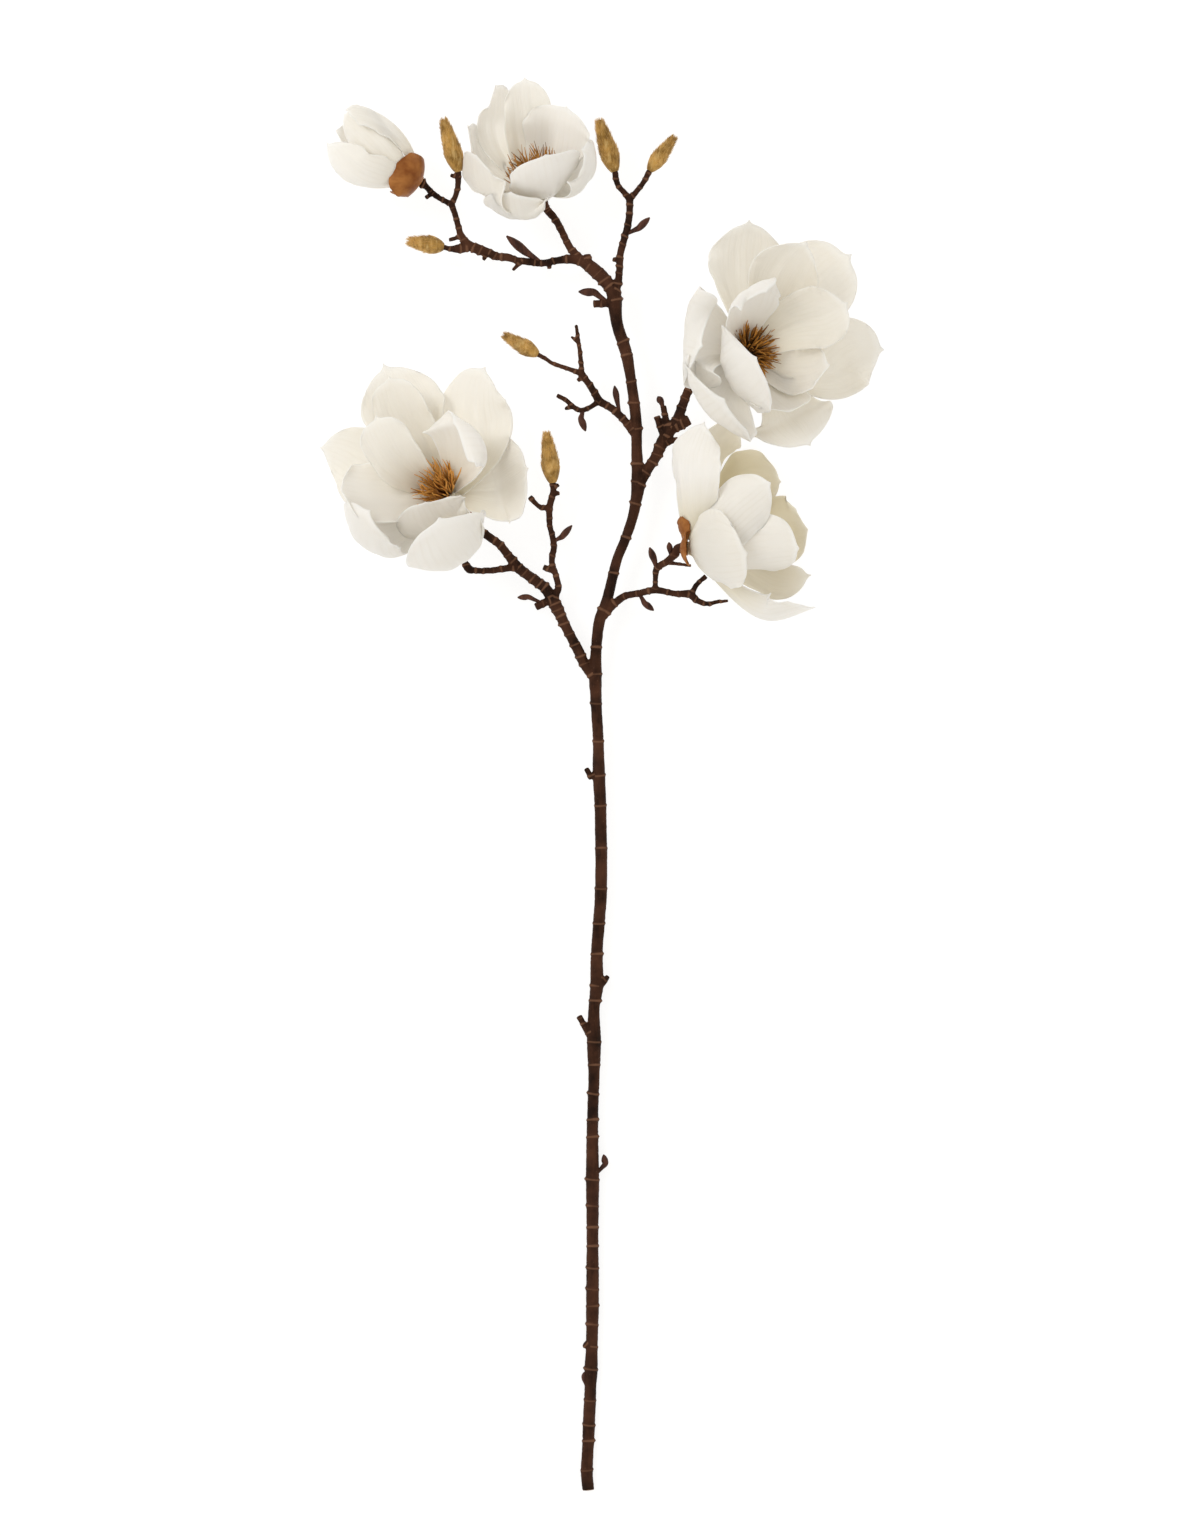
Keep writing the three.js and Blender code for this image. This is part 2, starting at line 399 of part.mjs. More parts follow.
// A closed round rod along a smooth curve, with its own diameter at every row.
// `rows` holds the places of the rows along the curve, 0..1, and `swell` adds to the radius there.
function rod(points, sides, rows, swell = () => 0) {
  const curve = new THREE.CatmullRomCurve3(points.map(vec), false, 'centripetal');
  const widths = new THREE.CatmullRomCurve3(
    points.map((p, i) => new THREE.Vector3(i, p[3], 0)), false, 'centripetal');
  const geometry = new THREE.CylinderGeometry(1, 1, 1, sides, rows.length - 1, false);
  const place = geometry.attributes.position;
  const frames = [];
  let side = squareTo(curve.getTangent(rows[0]));
  for (const t of rows) {
    const along = curve.getTangent(t);
    side = side.clone().addScaledVector(along, -side.dot(along)).normalize();
    frames.push({
      centre: curve.getPoint(t),
      side,
      up: new THREE.Vector3().crossVectors(side, along),
      radius: widths.getPoint(t).y / 2 + swell(t),
    });
  }
  for (let i = 0; i < place.count; i += 1) {
    const frame = frames[Math.round((0.5 + place.getY(i)) * (rows.length - 1))];
    const point = frame.centre.clone()
      .addScaledVector(frame.side, place.getX(i) * frame.radius)
      .addScaledVector(frame.up, place.getZ(i) * frame.radius);
    place.setXYZ(i, point.x, point.y, point.z);
  }
  return toSolid(geometry);
}

const evenRows = (count) => Array.from({ length: count + 1 }, (_, i) => i / count);

// ---------------------------------------------------------------- wood pieces
function makeStem() {
  const curve = new THREE.CatmullRomCurve3(STEM.map(vec), false, 'centripetal');
  const placeOf = (height) => {
    let low = 0;
    let high = 1;
    for (let i = 0; i < 40; i += 1) {
      const middle = (low + high) / 2;
      if (curve.getPoint(middle).y < height) {
        low = middle;
      } else {
        high = middle;
      }
    }
    return low;
  };
  const rings = STEM_RINGS.map(placeOf);
  const rows = [0];
  rings.forEach((ring) => {
    rows.push((rows[rows.length - 1] + ring) / 2, ring);
  });
  rows.push(1);
  return rod(STEM, STEM_SIDES, rows, (t) => (rings.includes(t) ? RING_SWELL : 0));
}

function makeTwig(points) {
  return rod(points, TWIG_SIDES, evenRows(points.length - 1));
}

function makeLeafBud({ base, middle, tip, width }) {
  const shoulder = vec(base).lerp(vec(middle), 0.6);
  const neck = vec(middle).lerp(vec(tip), 0.55);
  return rod([
    [...base, width * 0.5], [...shoulder, width * 0.95], [...middle, width],
    [...neck, width * 0.72], [...tip, width * 0.2],
  ], TWIG_SIDES, evenRows(4));
}

// The bare end of the twig that carries a bloom: it comes up the bloom's own axis.
function makeBloomFoot(twig, bloom, extra = 0) {
  const axis = vec(bloom.axis).normalize();
  const below = bloom.scales.length ? SCALE_COLLAR_HEIGHT + GAP : 0;
  const end = vec(bloom.heart).addScaledVector(axis, -(RECEPTACLE_DEPTH + GAP + below));
  const last = twig[twig.length - 1];
  const before = twig[twig.length - 2];
  const bend = end.clone().addScaledVector(axis, -4);
  end.addScaledVector(axis, extra);
  const points = [before, last, [bend.x, bend.y, bend.z, last[3] + 0.4], [end.x, end.y, end.z, 7.6]];
  return rod(points.map(([x, y, z, wide]) => [x, y, z, wide + 2 * extra]), 6, evenRows(4));
}

// ---------------------------------------------------------------- tepals
// One point of a tepal's middle surface. `u` runs across it from -1 to 1, `v` from claw to tip.
function tepalPoint(bloomAxis, tepal, u, v) {
  const axis = vec(bloomAxis).normalize();
  const tip = vec(tepal.tip);
  const towards = tepal.facing ? vec(tepal.facing) : tip.clone();
  const out = towards.addScaledVector(axis, -towards.dot(axis)).normalize();
  const across = new THREE.Vector3().crossVectors(axis, out);
  const slope = (degrees) => axis.clone().multiplyScalar(Math.cos(radians(degrees)))
    .addScaledVector(out, Math.sin(radians(degrees)));
  const start = out.clone().multiplyScalar(tepal.root).addScaledVector(axis, tepal.rise);
  const length = tip.distanceTo(start);
  const spine = new THREE.CubicBezierCurve3(
    start,
    start.clone().addScaledVector(slope(tepal.flare), length * tepal.reach[0])
      .addScaledVector(across, tepal.sway / 2),
    tip.clone().addScaledVector(slope(tepal.lift), -length * tepal.reach[1])
      .addScaledVector(across, tepal.sway),
    tip,
  );
  // the outline: a narrow claw, broad shoulders and a rounded end with a small point
  const past = Math.max(v - tepal.widest, 0) / (1 - tepal.widest);
  const corner = (1 - 0.8 ** tepal.blunt) ** (1 / tepal.blunt);
  const drop = (1 - (corner * Math.abs(u)) ** tepal.blunt) ** (1 / tepal.blunt);
  const along = Math.min(v, tepal.widest) + (1 - tepal.widest) * past * drop
    - 0.02 * (1 - Math.exp(-Math.abs(u) / 0.13)) * past ** 3;
  const growing = tepal.claw
    + (1 - tepal.claw) * Math.sin((Math.PI / 2) * Math.min(v / tepal.widest, 1)) ** 1.15;
  const closing = (1 - (0.8 * past) ** tepal.blunt) ** (1 / tepal.blunt);
  const half = (tepal.wide / 2) * (v < tepal.widest ? growing : closing);
  // the cross-section: an arc round the midrib
  const tangent = spine.getTangent(along);
  const side = across.clone().addScaledVector(tangent, -across.dot(tangent)).normalize();
  const inward = new THREE.Vector3().crossVectors(tangent, side);
  const turn = radians(tepal.roll);
  const sideways = side.clone().multiplyScalar(Math.cos(turn)).addScaledVector(inward, Math.sin(turn));
  const inwards = inward.clone().multiplyScalar(Math.cos(turn)).addScaledVector(side, -Math.sin(turn));
  const cup = radians(tepal.cup) * (0.6 + 0.4 * Math.sin(Math.PI * Math.min(v / 0.9, 1)));
  const wave = 1.2 * u * u * Math.min(1, 2 * v) * Math.sin(10 * v + (u > 0 ? 0 : 1.9));
  const fold = tepal.curl * (Math.max(0, along - 0.75) / 0.25) ** 2;
  return spine.getPoint(along)
    .addScaledVector(sideways, (half * Math.sin(cup * u)) / cup)
    .addScaledVector(inwards, (half * (1 - Math.cos(cup * u))) / cup + wave - fold);
}

// A tepal as a thin closed blade. `extra` thickens it on both faces, to make room round it.
function makeTepal(bloom, shape, columns, rows, extra = 0) {
  const tepal = { ...PLAIN_TEPAL, ...shape };
  const sheet = new THREE.PlaneGeometry(2, 1, columns, rows);
  const place = sheet.attributes.position;
  const count = place.count;
  const depth = [];
  for (let i = 0; i < count; i += 1) {
    const v = place.getY(i) + 0.5;
    const point = tepalPoint(bloom.axis, tepal, place.getX(i), v).add(vec(bloom.heart));
    depth.push((TEPAL_THICKNESS + CLAW_THICKNESS * (1 - v) ** 2) / 2 + extra);
    place.setXYZ(i, point.x, point.y, point.z);
  }
  sheet.computeVertexNormals();
  const normal = sheet.attributes.normal;
  const corners = new Float32Array(count * 6);
  for (let i = 0; i < count; i += 1) {
    for (let k = 0; k < 3; k += 1) {
      const middle = place.array[i * 3 + k];
      const offset = normal.array[i * 3 + k] * depth[i];
      corners[i * 3 + k] = middle + offset;
      corners[(count + i) * 3 + k] = middle - offset;
    }
  }
  const faces = Array.from(sheet.index.array);
  const triangles = [...faces];
  for (let i = 0; i < faces.length; i += 3) {
    triangles.push(count + faces[i], count + faces[i + 2], count + faces[i + 1]);
  }
  const rim = [];
  for (let c = 0; c < columns; c += 1) rim.push(c);
  for (let r = 0; r < rows; r += 1) rim.push(columns + r * (columns + 1));
  for (let c = columns; c > 0; c -= 1) rim.push(rows * (columns + 1) + c);
  for (let r = rows; r > 0; r -= 1) rim.push(r * (columns + 1));
  rim.forEach((a, i) => {
    const b = rim[(i + 1) % rim.length];
    triangles.push(a, b, count + a, b, count + b, count + a);
  });
  return new wasm.Manifold(new wasm.Mesh({
    numProp: 3, vertProperties: corners, triVerts: new Uint32Array(triangles),
  }));
}

// A round button between two heights on a bloom's axis.
function makeButton(bloom, low, high, lowRadius, highRadius, sides = 10) {
  const profile = [[0, low], [lowRadius, low], [highRadius, high], [0, high]];
  const geometry = new THREE.LatheGeometry(profile.map((p) => new THREE.Vector2(p[0], p[1])), sides);
  geometry.applyQuaternion(new THREE.Quaternion().setFromUnitVectors(
    new THREE.Vector3(0, 1, 0), vec(bloom.axis).normalize()));
  geometry.translate(...bloom.heart);
  return toSolid(geometry);
}

function makeTepals(bloom, extra = 0) {
  const button = makeButton(bloom, -RECEPTACLE_DEPTH - extra, RECEPTACLE_RISE + extra,
    4.6 + extra, RECEPTACLE_RADIUS + extra);
  return fuse([button, ...bloom.tepals.map((t) => makeTepal(bloom, t, TEPAL_COLUMNS, TEPAL_ROWS, extra))]);
}

// Copper bud scales that still cling below the bloom, on one small collar.
function makeScales(bloom, room) {
  const collar = makeButton(bloom, -RECEPTACLE_DEPTH - GAP - SCALE_COLLAR_HEIGHT,
    -RECEPTACLE_DEPTH - GAP, 4.4, 5.4);
  const blades = bloom.scales.map((shape) => {
    const low = { ...bloom };
    low.heart = vec(bloom.heart)
      .addScaledVector(vec(bloom.axis).normalize(), -RECEPTACLE_DEPTH - GAP - SCALE_COLLAR_HEIGHT / 2)
      .toArray();
    return makeTepal(low, { root: SCALE_ROOT, ...shape }, 4, 4);
  });
  return mainBody(fuse([collar, ...blades.map((b) => b.subtract(room))]));
}

// The cone of stamens: a short core with three-sided needles round it.
function makeStamens(bloom, seed) {
  const random = seeded(seed);
  const { count, spread, length } = bloom.stamens;
  const lean = vec(bloom.stamens.lean).normalize();
  const axis = vec(bloom.axis).normalize();
  const foot = vec(bloom.heart).addScaledVector(axis, RECEPTACLE_RISE + GAP);
  const first = squareTo(lean);
  const second = new THREE.Vector3().crossVectors(lean, first);
  const core = makeButton(bloom, RECEPTACLE_RISE + GAP, RECEPTACLE_RISE + GAP + length * 0.45, 3.4, 2.2, 7);
  const needles = Array.from({ length: count }, (_, i) => {
    const ring = Math.sqrt((i + 0.5) / count);
    const around = i * 2.39996 + random() * 0.5;
    const tilt = radians(spread) * ring;
    const outward = first.clone().multiplyScalar(Math.cos(around)).addScaledVector(second, Math.sin(around));
    const direction = lean.clone().multiplyScalar(Math.cos(tilt)).addScaledVector(outward, Math.sin(tilt));
    const long = length * (0.82 + 0.3 * random());
    const needle = new THREE.ConeGeometry(STAMEN_WIDTH * 0.75, long, 3, 1);
    needle.translate(0, long / 2, 0);
    needle.applyQuaternion(new THREE.Quaternion().setFromUnitVectors(new THREE.Vector3(0, 1, 0), direction));
    const start = foot.clone().addScaledVector(axis, 1).addScaledVector(outward, 2.2 * ring);
    needle.translate(start.x, start.y, start.z);
    return toSolid(needle);
  });
  return fuse([core, ...needles]);
}

function makeFurryBud({ base, tip, wide }) {
  const from = vec(base);
  const to = vec(tip);
  const points = FURRY_SHAPE.map(([s, w]) => [...from.clone().lerp(to, s).toArray(), wide * w]);
  return rod(points, 8, evenRows(points.length - 1));
}

// ---------------------------------------------------------------- the whole branch
const floorCut = (() => {
  const slab = new THREE.BoxGeometry(1200, 1200, 60);
  slab.translate(0, 0, FLOOR - 30);
  return toSolid(slab);
})();

const FEET = {
  left_branch: 'bloom_left',
  right_branch: 'bloom_right',
  top_bloom_twig: 'bloom_top',
  lower_right_up: 'bloom_low',
  opening_bloom_twig: 'bloom_opening',
};

const branch = new THREE.Group();
branch.name = 'magnolia_branch';

const wood = fuse([
  makeStem(),
  ...Object.values(TWIGS).map(makeTwig),
  ...STUBS.map((points) => rod(points, TWIG_SIDES, evenRows(1))),
  ...LEAF_BUDS.map(makeLeafBud),
  ...Object.entries(FEET).map(([twig, bloom]) => makeBloomFoot(TWIGS[twig], BLOOMS[bloom])),
]).subtract(floorCut);
branch.add(toMesh('branch', wood, BARK));

Object.entries(BLOOMS).forEach(([name, bloom], index) => {
  const tepals = mainBody(makeTepals(bloom).subtract(floorCut));
  branch.add(toMesh(`${name}_tepals`, tepals, TEPAL_WHITE));
  if (bloom.stamens) {
    branch.add(toMesh(`${name}_stamens`, makeStamens(bloom, 11 + index), STAMEN_BROWN));
  }
  if (bloom.scales.length) {
    const twig = Object.keys(FEET).find((key) => FEET[key] === name);
    const room = makeTepals(bloom, GAP).add(makeBloomFoot(TWIGS[twig], bloom, GAP));
    branch.add(toMesh(`${name}_scales`, makeScales(bloom, room), SCALE_COPPER));
  }
});

Object.entries(FURRY_BUDS).forEach(([name, bud]) => {
  branch.add(toMesh(name, makeFurryBud(bud), FUR_TAN));
});

export default branch;
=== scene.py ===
"""A cut branch of saucer magnolia lying on its back on a pale floor, seen from above.

Routes, places and widths are the branch's own, in millimetres, and MM turns them into metres.
+Y runs up the stem from the cut end, +X is to the right of the branch and +Z is up.
"""

import math
import random

import bmesh
import bpy
from mathutils import Matrix, Vector, noise
from mathutils.kdtree import KDTree


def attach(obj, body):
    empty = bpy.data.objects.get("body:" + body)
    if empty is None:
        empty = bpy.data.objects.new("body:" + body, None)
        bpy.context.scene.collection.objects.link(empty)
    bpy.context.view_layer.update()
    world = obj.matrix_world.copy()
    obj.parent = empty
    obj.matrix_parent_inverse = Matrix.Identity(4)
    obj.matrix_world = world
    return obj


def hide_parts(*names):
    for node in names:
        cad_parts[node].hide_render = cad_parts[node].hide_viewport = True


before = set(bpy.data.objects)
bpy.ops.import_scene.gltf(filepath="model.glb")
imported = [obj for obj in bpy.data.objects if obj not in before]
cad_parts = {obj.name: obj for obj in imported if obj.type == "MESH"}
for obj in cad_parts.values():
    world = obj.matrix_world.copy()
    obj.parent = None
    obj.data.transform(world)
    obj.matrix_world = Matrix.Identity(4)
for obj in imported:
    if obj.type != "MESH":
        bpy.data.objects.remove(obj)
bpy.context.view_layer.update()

MM = 0.001
UP = Vector((0, 0, 1))

# Every route point is [x, y, z, diameter].
STEM = [
    [-10, -495.5, 3.95, 8.4], [-11, -482.5, 3.95, 8.6], [-10, -461.5, 3.95, 8.4],
    [-9.5, -448.5, 4.1, 8.8], [-8.5, -424, 4.4, 8.4], [-8, -409.5, 4.9, 9.4], [-7.5, -394, 5, 8.4],
    [-7, -360, 5.4, 9.2], [-7, -318, 6, 8.4], [-7, -276, 6.7, 9.4], [-7, -235, 7.4, 8],
    [-6, -206, 8, 7.9], [-6, -179, 8.4, 10.1], [-6, -157, 8.8, 8], [-4, -140.5, 9, 9.4],
    [-4, -118.5, 9.4, 8.5], [-2.5, -96.5, 9.8, 8.4], [-1, -71.5, 10.2, 8.6], [-1.5, -14, 11.5, 8.4],
    [-2.5, 7.5, 12, 8.8], [-3, 32, 12.7, 7.7], [-4.5, 60, 13.6, 8], [-5, 77.5, 14.2, 9.1],
    [-4.5, 95, 14.8, 7.7], [-2, 116, 15.6, 8], [3, 130, 16.2, 7.7], [6.5, 144, 16.8, 7.3],
    [10, 158, 17.4, 7], [15.5, 172, 18, 7], [20.5, 186, 18.8, 7.3], [23.5, 200, 19.5, 8],
    [25, 212, 20, 9.8], [24, 235, 21, 7.7], [23.5, 256, 21.8, 8], [20, 284, 22.6, 7.3],
    [17, 301.5, 23.1, 8.4], [10, 325, 23.7, 8.4], [8.5, 340, 24, 10.1], [7.5, 348.5, 24, 10.5],
]

# How far up the stem each leaf-scar ring sits.
STEM_RINGS = [
    -481, -461, -449, -432, -410, -394, -378, -365, -353, -339, -324, -310, -296, -276, -247,
    -235, -216, -196, -179, -151, -141, -118, -96, -71, -43, -14, 8, 32, 58, 78, 97, 123, 149, 174,
    198, 213, 226, 250, 269, 283, 302, 311, 340,
]

TWIGS = {
    "left_branch": [
        [-6, 75.5, 14.2, 6.3], [-12, 84.5, 14.5, 7.3], [-17, 95, 14.8, 7.7], [-23, 106.5, 15, 6.9],
        [-28.5, 117.5, 15.3, 7.7], [-32.5, 126, 15.6, 9.1], [-40, 138.5, 16.2, 7.7],
        [-47, 144, 16.6, 7.7], [-54, 149, 17, 7.3], [-60.5, 154.5, 17.3, 7.7], [-65.5, 161, 17.8, 6.3],
        [-72.5, 169.5, 18, 5.9], [-82, 176.5, 17, 5.9], [-92, 185.5, 15, 5.9], [-100, 193.5, 14.5, 6],
    ],
    "left_side_twig": [
        [-60, 153.5, 17.3, 4.9], [-68, 152.5, 18, 4.9], [-79, 151, 19, 4.5], [-89, 151, 20, 4.5],
        [-93.5, 152, 20.5, 5.9], [-97, 158, 21, 4.2],
    ],
    "left_upper_twig": [
        [-34.5, 131.5, 15.6, 5.6], [-31, 138.5, 17, 4.9], [-32.5, 147, 18.5, 4.5],
        [-35.5, 157, 20, 4.5], [-34, 168.5, 21.5, 4.5], [-37, 183.5, 23, 4.2], [-37, 195.5, 24.5, 4.9],
        [-34.5, 206, 25.5, 4.5], [-35, 212.5, 26, 4.2],
    ],
    "left_upper_side_stub": [
        [-37.5, 194.5, 24.5, 4.2], [-44, 195.5, 25.5, 3.5], [-47, 198, 26, 3.5], [-51, 202.5, 26.5, 4.2],
    ],
    "right_branch": [
        [25, 209.5, 20, 6.3], [29, 216.5, 20.5, 7], [33, 224, 21, 7.3], [37.5, 231, 21.3, 7.7],
        [41.5, 240, 21.6, 8.8], [47, 249, 22, 9.1], [52, 256, 22, 7.7], [57, 269, 21, 6.6],
        [60, 276.5, 20, 6.3], [67.5, 285, 18, 6.3], [79.5, 292, 15.5, 6.3], [89.5, 297, 15, 6.3],
    ],
    "right_blunt_stub": [[48.5, 250.5, 22, 7.7], [55, 253.5, 22.6, 8.4], [61, 256.5, 23, 7.3]],
    "right_bud_twig": [[46, 249, 22, 4.9], [44, 259, 24, 4.5], [42.5, 266, 25.5, 4.5]],
    "lower_right_twig": [
        [0.5, 119, 15.6, 6.3], [6, 125.5, 17, 5.9], [11, 130, 19, 5.6], [15.5, 133, 21, 5.2],
        [26, 135, 24.5, 4.9], [37, 137, 28, 4.9], [51, 134.5, 29, 4.4], [61, 134, 29, 5.6],
        [66, 130, 28.5, 4.5], [72.5, 127.5, 28, 3.5], [81, 129, 27.5, 2.8], [88, 129.5, 27, 2.2],
    ],
    "lower_right_fork": [
        [62, 133.5, 29, 3.8], [65, 139.5, 30, 3.8], [68, 143, 31, 3.5], [72.5, 146.5, 32, 3.8],
    ],
    "lower_right_up": [
        [37, 136, 28, 4.2], [37, 144, 32, 3.8], [38, 152, 36, 4.9], [45, 156.5, 42, 4.9],
        [50, 161, 46, 5.6],
    ],
    "upper_left_twig": [
        [21.5, 247, 21.6, 4.9], [15.5, 256, 22.2, 5.6], [9.5, 262, 22.8, 5.6], [4, 266, 23.4, 5.6],
        [-2, 269.5, 24, 5.9], [-6, 276, 24.6, 5.2], [-10, 282, 25.2, 4.9], [-15, 289, 25.8, 5.2],
    ],
    "bud_e_twig": [
        [-14.5, 288.5, 25.8, 4.2], [-24, 292, 26.4, 3.4], [-35.5, 296, 27, 3.1], [-40, 299, 27.4, 3.1],
        [-45.5, 302, 27.6, 3.5],
    ],
    "upright_twig": [
        [-14.5, 287, 25.8, 4.2], [-15, 297, 27, 3.5], [-16.5, 308.5, 28.5, 3.1], [-18.5, 322.5, 30, 2.5],
    ],
    "hanging_twig": [
        [-2, 270, 24, 4.2], [-5, 267.5, 24.3, 3.8], [-10, 264.5, 24.6, 3.8], [-15.5, 263, 24.8, 3.8],
        [-20.5, 265.5, 25, 3.8], [-25.5, 270, 25.2, 3.5], [-32, 273.5, 25.5, 3.1],
    ],
    "top_left_thick": [
        [7.5, 346, 24, 9.1], [1, 355, 24, 9.8], [-6, 361.5, 23.6, 9.8], [-13.5, 367.5, 23, 8.4],
    ],
    "top_bloom_twig": [
        [-12, 366, 23, 6.3], [-19, 373, 21, 5.6], [-23.5, 378.5, 19.5, 5.3], [-29, 390, 17, 5.2],
        [-34, 399, 14, 5.2], [-39, 404.5, 13.5, 5.3],
    ],
    "top_left_long": [
        [-12, 367, 23, 6.3], [-23, 369, 23.4, 6.6], [-31, 368, 23.8, 5.2], [-43, 366, 24.2, 4.9],
        [-51.5, 367, 24.6, 5.2], [-60, 368, 25, 4.9], [-66, 370, 25.3, 5.6], [-73, 370.5, 25.6, 5.6],
        [-79.5, 373, 25.8, 6.3], [-86.5, 375.5, 26, 7.3], [-93.5, 378.5, 26, 6.6],
        [-99, 385.5, 26.4, 4.9], [-101, 392, 26.8, 4.5], [-103, 399.5, 27.2, 4.3],
        [-106, 408, 27.5, 4.9],
    ],
    "opening_bloom_twig": [[-104.5, 406.5, 27.5, 4.2], [-113.5, 411, 26.4, 3.9], [-119.5, 415.5, 25, 4.2]],
    "bud_a_twig": [
        [-106, 406, 27.5, 4.2], [-102.5, 413.5, 28, 3.9], [-101, 421.5, 28.5, 4.2], [-101, 430, 29, 4.5],
    ],
    "bud_b_twig": [
        [-91.5, 377.5, 26, 5.6], [-100, 376, 26.5, 6.6], [-107, 376, 27, 3.8], [-111.5, 377, 27.5, 3.8],
    ],
    "top_right_twig": [
        [8, 345, 24, 7], [11, 353, 24, 5.6], [12, 362.5, 24.4, 4.9], [12.5, 372.5, 24.8, 5.2],
        [15, 382, 25.2, 4.9], [18, 393.5, 25.6, 5.2], [19, 403, 26, 4.9], [19, 412.5, 26.4, 5.6],
    ],
    "bud_c_twig": [[19, 410, 26.4, 4.5], [15.5, 415, 27, 4.2], [11, 420, 27.6, 4.1], [8.5, 430, 28.4, 4.5]],
    "bud_d_twig": [
        [18.5, 410, 26.4, 4.5], [23, 415, 26.8, 4.2], [28.5, 422, 27.4, 3.9], [33, 430.5, 28, 4.5],
    ],
}

# Broken side shoots, spurs and knobs: where each starts in the wood, and its blunt end.
STUBS = [
    [[-7.5, 5, 12, 4.2], [-11.5, 12.5, 13, 3.8]],
    [[-0.5, -140, 9, 4.2], [4, -133.5, 10, 3.5]],
    [[-9, -175.5, 8.4, 4.9], [-16.5, -161.5, 10, 4.2]],
    [[-35.5, 131, 15.8, 5.6], [-47, 125.5, 17, 5.6]],
    [[-35.5, 151, 19, 4.2], [-41.5, 153.5, 20, 4.2]],
    [[-34.5, 204.5, 25.5, 3.5], [-30, 205, 26, 3.1]],
    [[-34.8, 208.5, 25.7, 3.3], [-30.5, 211, 26, 2.9]],
    [[43, 239.5, 21.6, 4.2], [53, 243, 23, 3.5]],
    [[41.5, 248, 22, 4.9], [38, 259, 23.5, 4.5]],
    [[44, 156, 41, 2.8], [62, 153.5, 42, 2.1]],
    [[-20.5, 265.5, 25, 3.1], [-26.5, 264, 25.4, 2.5]],
    [[-17, 310, 28.6, 2.5], [-22, 314.5, 29, 2.1]],
    [[-13.5, 287, 25.8, 3.5], [-17.5, 283.5, 26, 3.1]],
    [[-10, 365.5, 23.3, 5.6], [-10.5, 372.5, 24, 4.9]],
    [[-119, 415, 25, 3.4], [-124, 411.5, 25.4, 2.8]],
    [[-101, 426.5, 28.8, 3.1], [-106.5, 427, 29, 2.8]],
    [[-98.5, 384.5, 26.4, 3.1], [-107.5, 382, 27, 2.8]],
    [[-81, 372.5, 25.8, 3.1], [-83.5, 368, 26, 2.8]],
    [[-56.5, 367.5, 24.8, 3.5], [-63, 361, 25.4, 2.5]],
    [[-38, 367, 24, 3.1], [-37, 362, 24.2, 2.8]],
    [[12, 367.5, 24.6, 3.5], [7, 369, 25, 2.9]],
    [[4, 338, 24, 5.6], [-6.5, 337.5, 25, 5.2]],
    [[-9, -395, 5, 4.2], [-13.5, -392.5, 5.6, 3.5]],
]

# Small pointed leaf buds: base in the wood, middle, tip, and greatest width.
LEAF_BUDS = [
    [[-4, -272.5, 7], [2, -265.5, 7.6], [0.5, -257.5, 8.4], 4.2],
    [[-11, -423.5, 5], [-13, -417, 5.2], [-12.7, -411, 5.6], 3.4],
    [[-41.5, 128, 16], [-52, 132.5, 18], [-61.5, 132, 20], 3.8],
    [[-34, 171.5, 21.6], [-28.5, 174.5, 23], [-19.5, 184.5, 25], 4.2],
    [[42.5, 264.5, 25.4], [41, 269, 26], [38, 273.5, 27], 4.5],
    [[38, 151, 36], [36, 158, 38], [32, 168.5, 41], 4.5],
    [[48, 159, 44], [47, 164.5, 46], [46, 171, 48], 3.8],
    [[25.5, 135, 24.4], [29.5, 128, 25], [37.5, 121.5, 26.5], 4.2],
    [[-13.5, 264, 24.8], [-15, 257, 25.6], [-11, 246, 26.5], 4.5],
    [[12, 261, 22.6], [10, 271, 24], [8, 282.5, 26], 4.1],
    [[-44.5, 367.5, 24.2], [-54, 374, 25.6], [-70.5, 387.5, 28], 5.7],
    [[17, 386.5, 25.4], [25.5, 390.5, 26.4], [35, 399.5, 28], 4.5],
    [[4.5, 338, 24], [-6, 345.5, 25], [-19.5, 346, 27], 5.2],
]

# ------------------------ the blooms
# A tepal leaves the heart at `flare` degrees from the bloom's axis and reaches its tip at `lift`
# degrees from it. `facing` is the side of the axis that it stands on (its tip's side, where it is
# left out), `wide` its greatest width, `cup` how far round its sides curl, `roll` a turn about
# its own midrib and `sway` a sideways bow. `reach` says how long its two bends are. It starts
# `root` from the axis and `rise` above the heart. `widest` is where it is widest, `claw` its width
# at the root as a share of that, and a lower `blunt` gives a sharper tip. `curl` bends its end
# back, `edge_roll` its rims, and `ruffle` scales its waves. `shade` is painted shade towards cream-beige,
# 0 to 1: where it is None, the wider a tepal opens the more painted shade it has.
PLAIN_TEPAL = dict(
    root=5, wide=56, flare=85, lift=20, cup=35, roll=0, sway=0, rise=0, curl=0, widest=0.58, claw=0.2,
    blunt=2.2, reach=[0.36, 0.36], edge_roll=0.5, ruffle=1, shade=None,
)

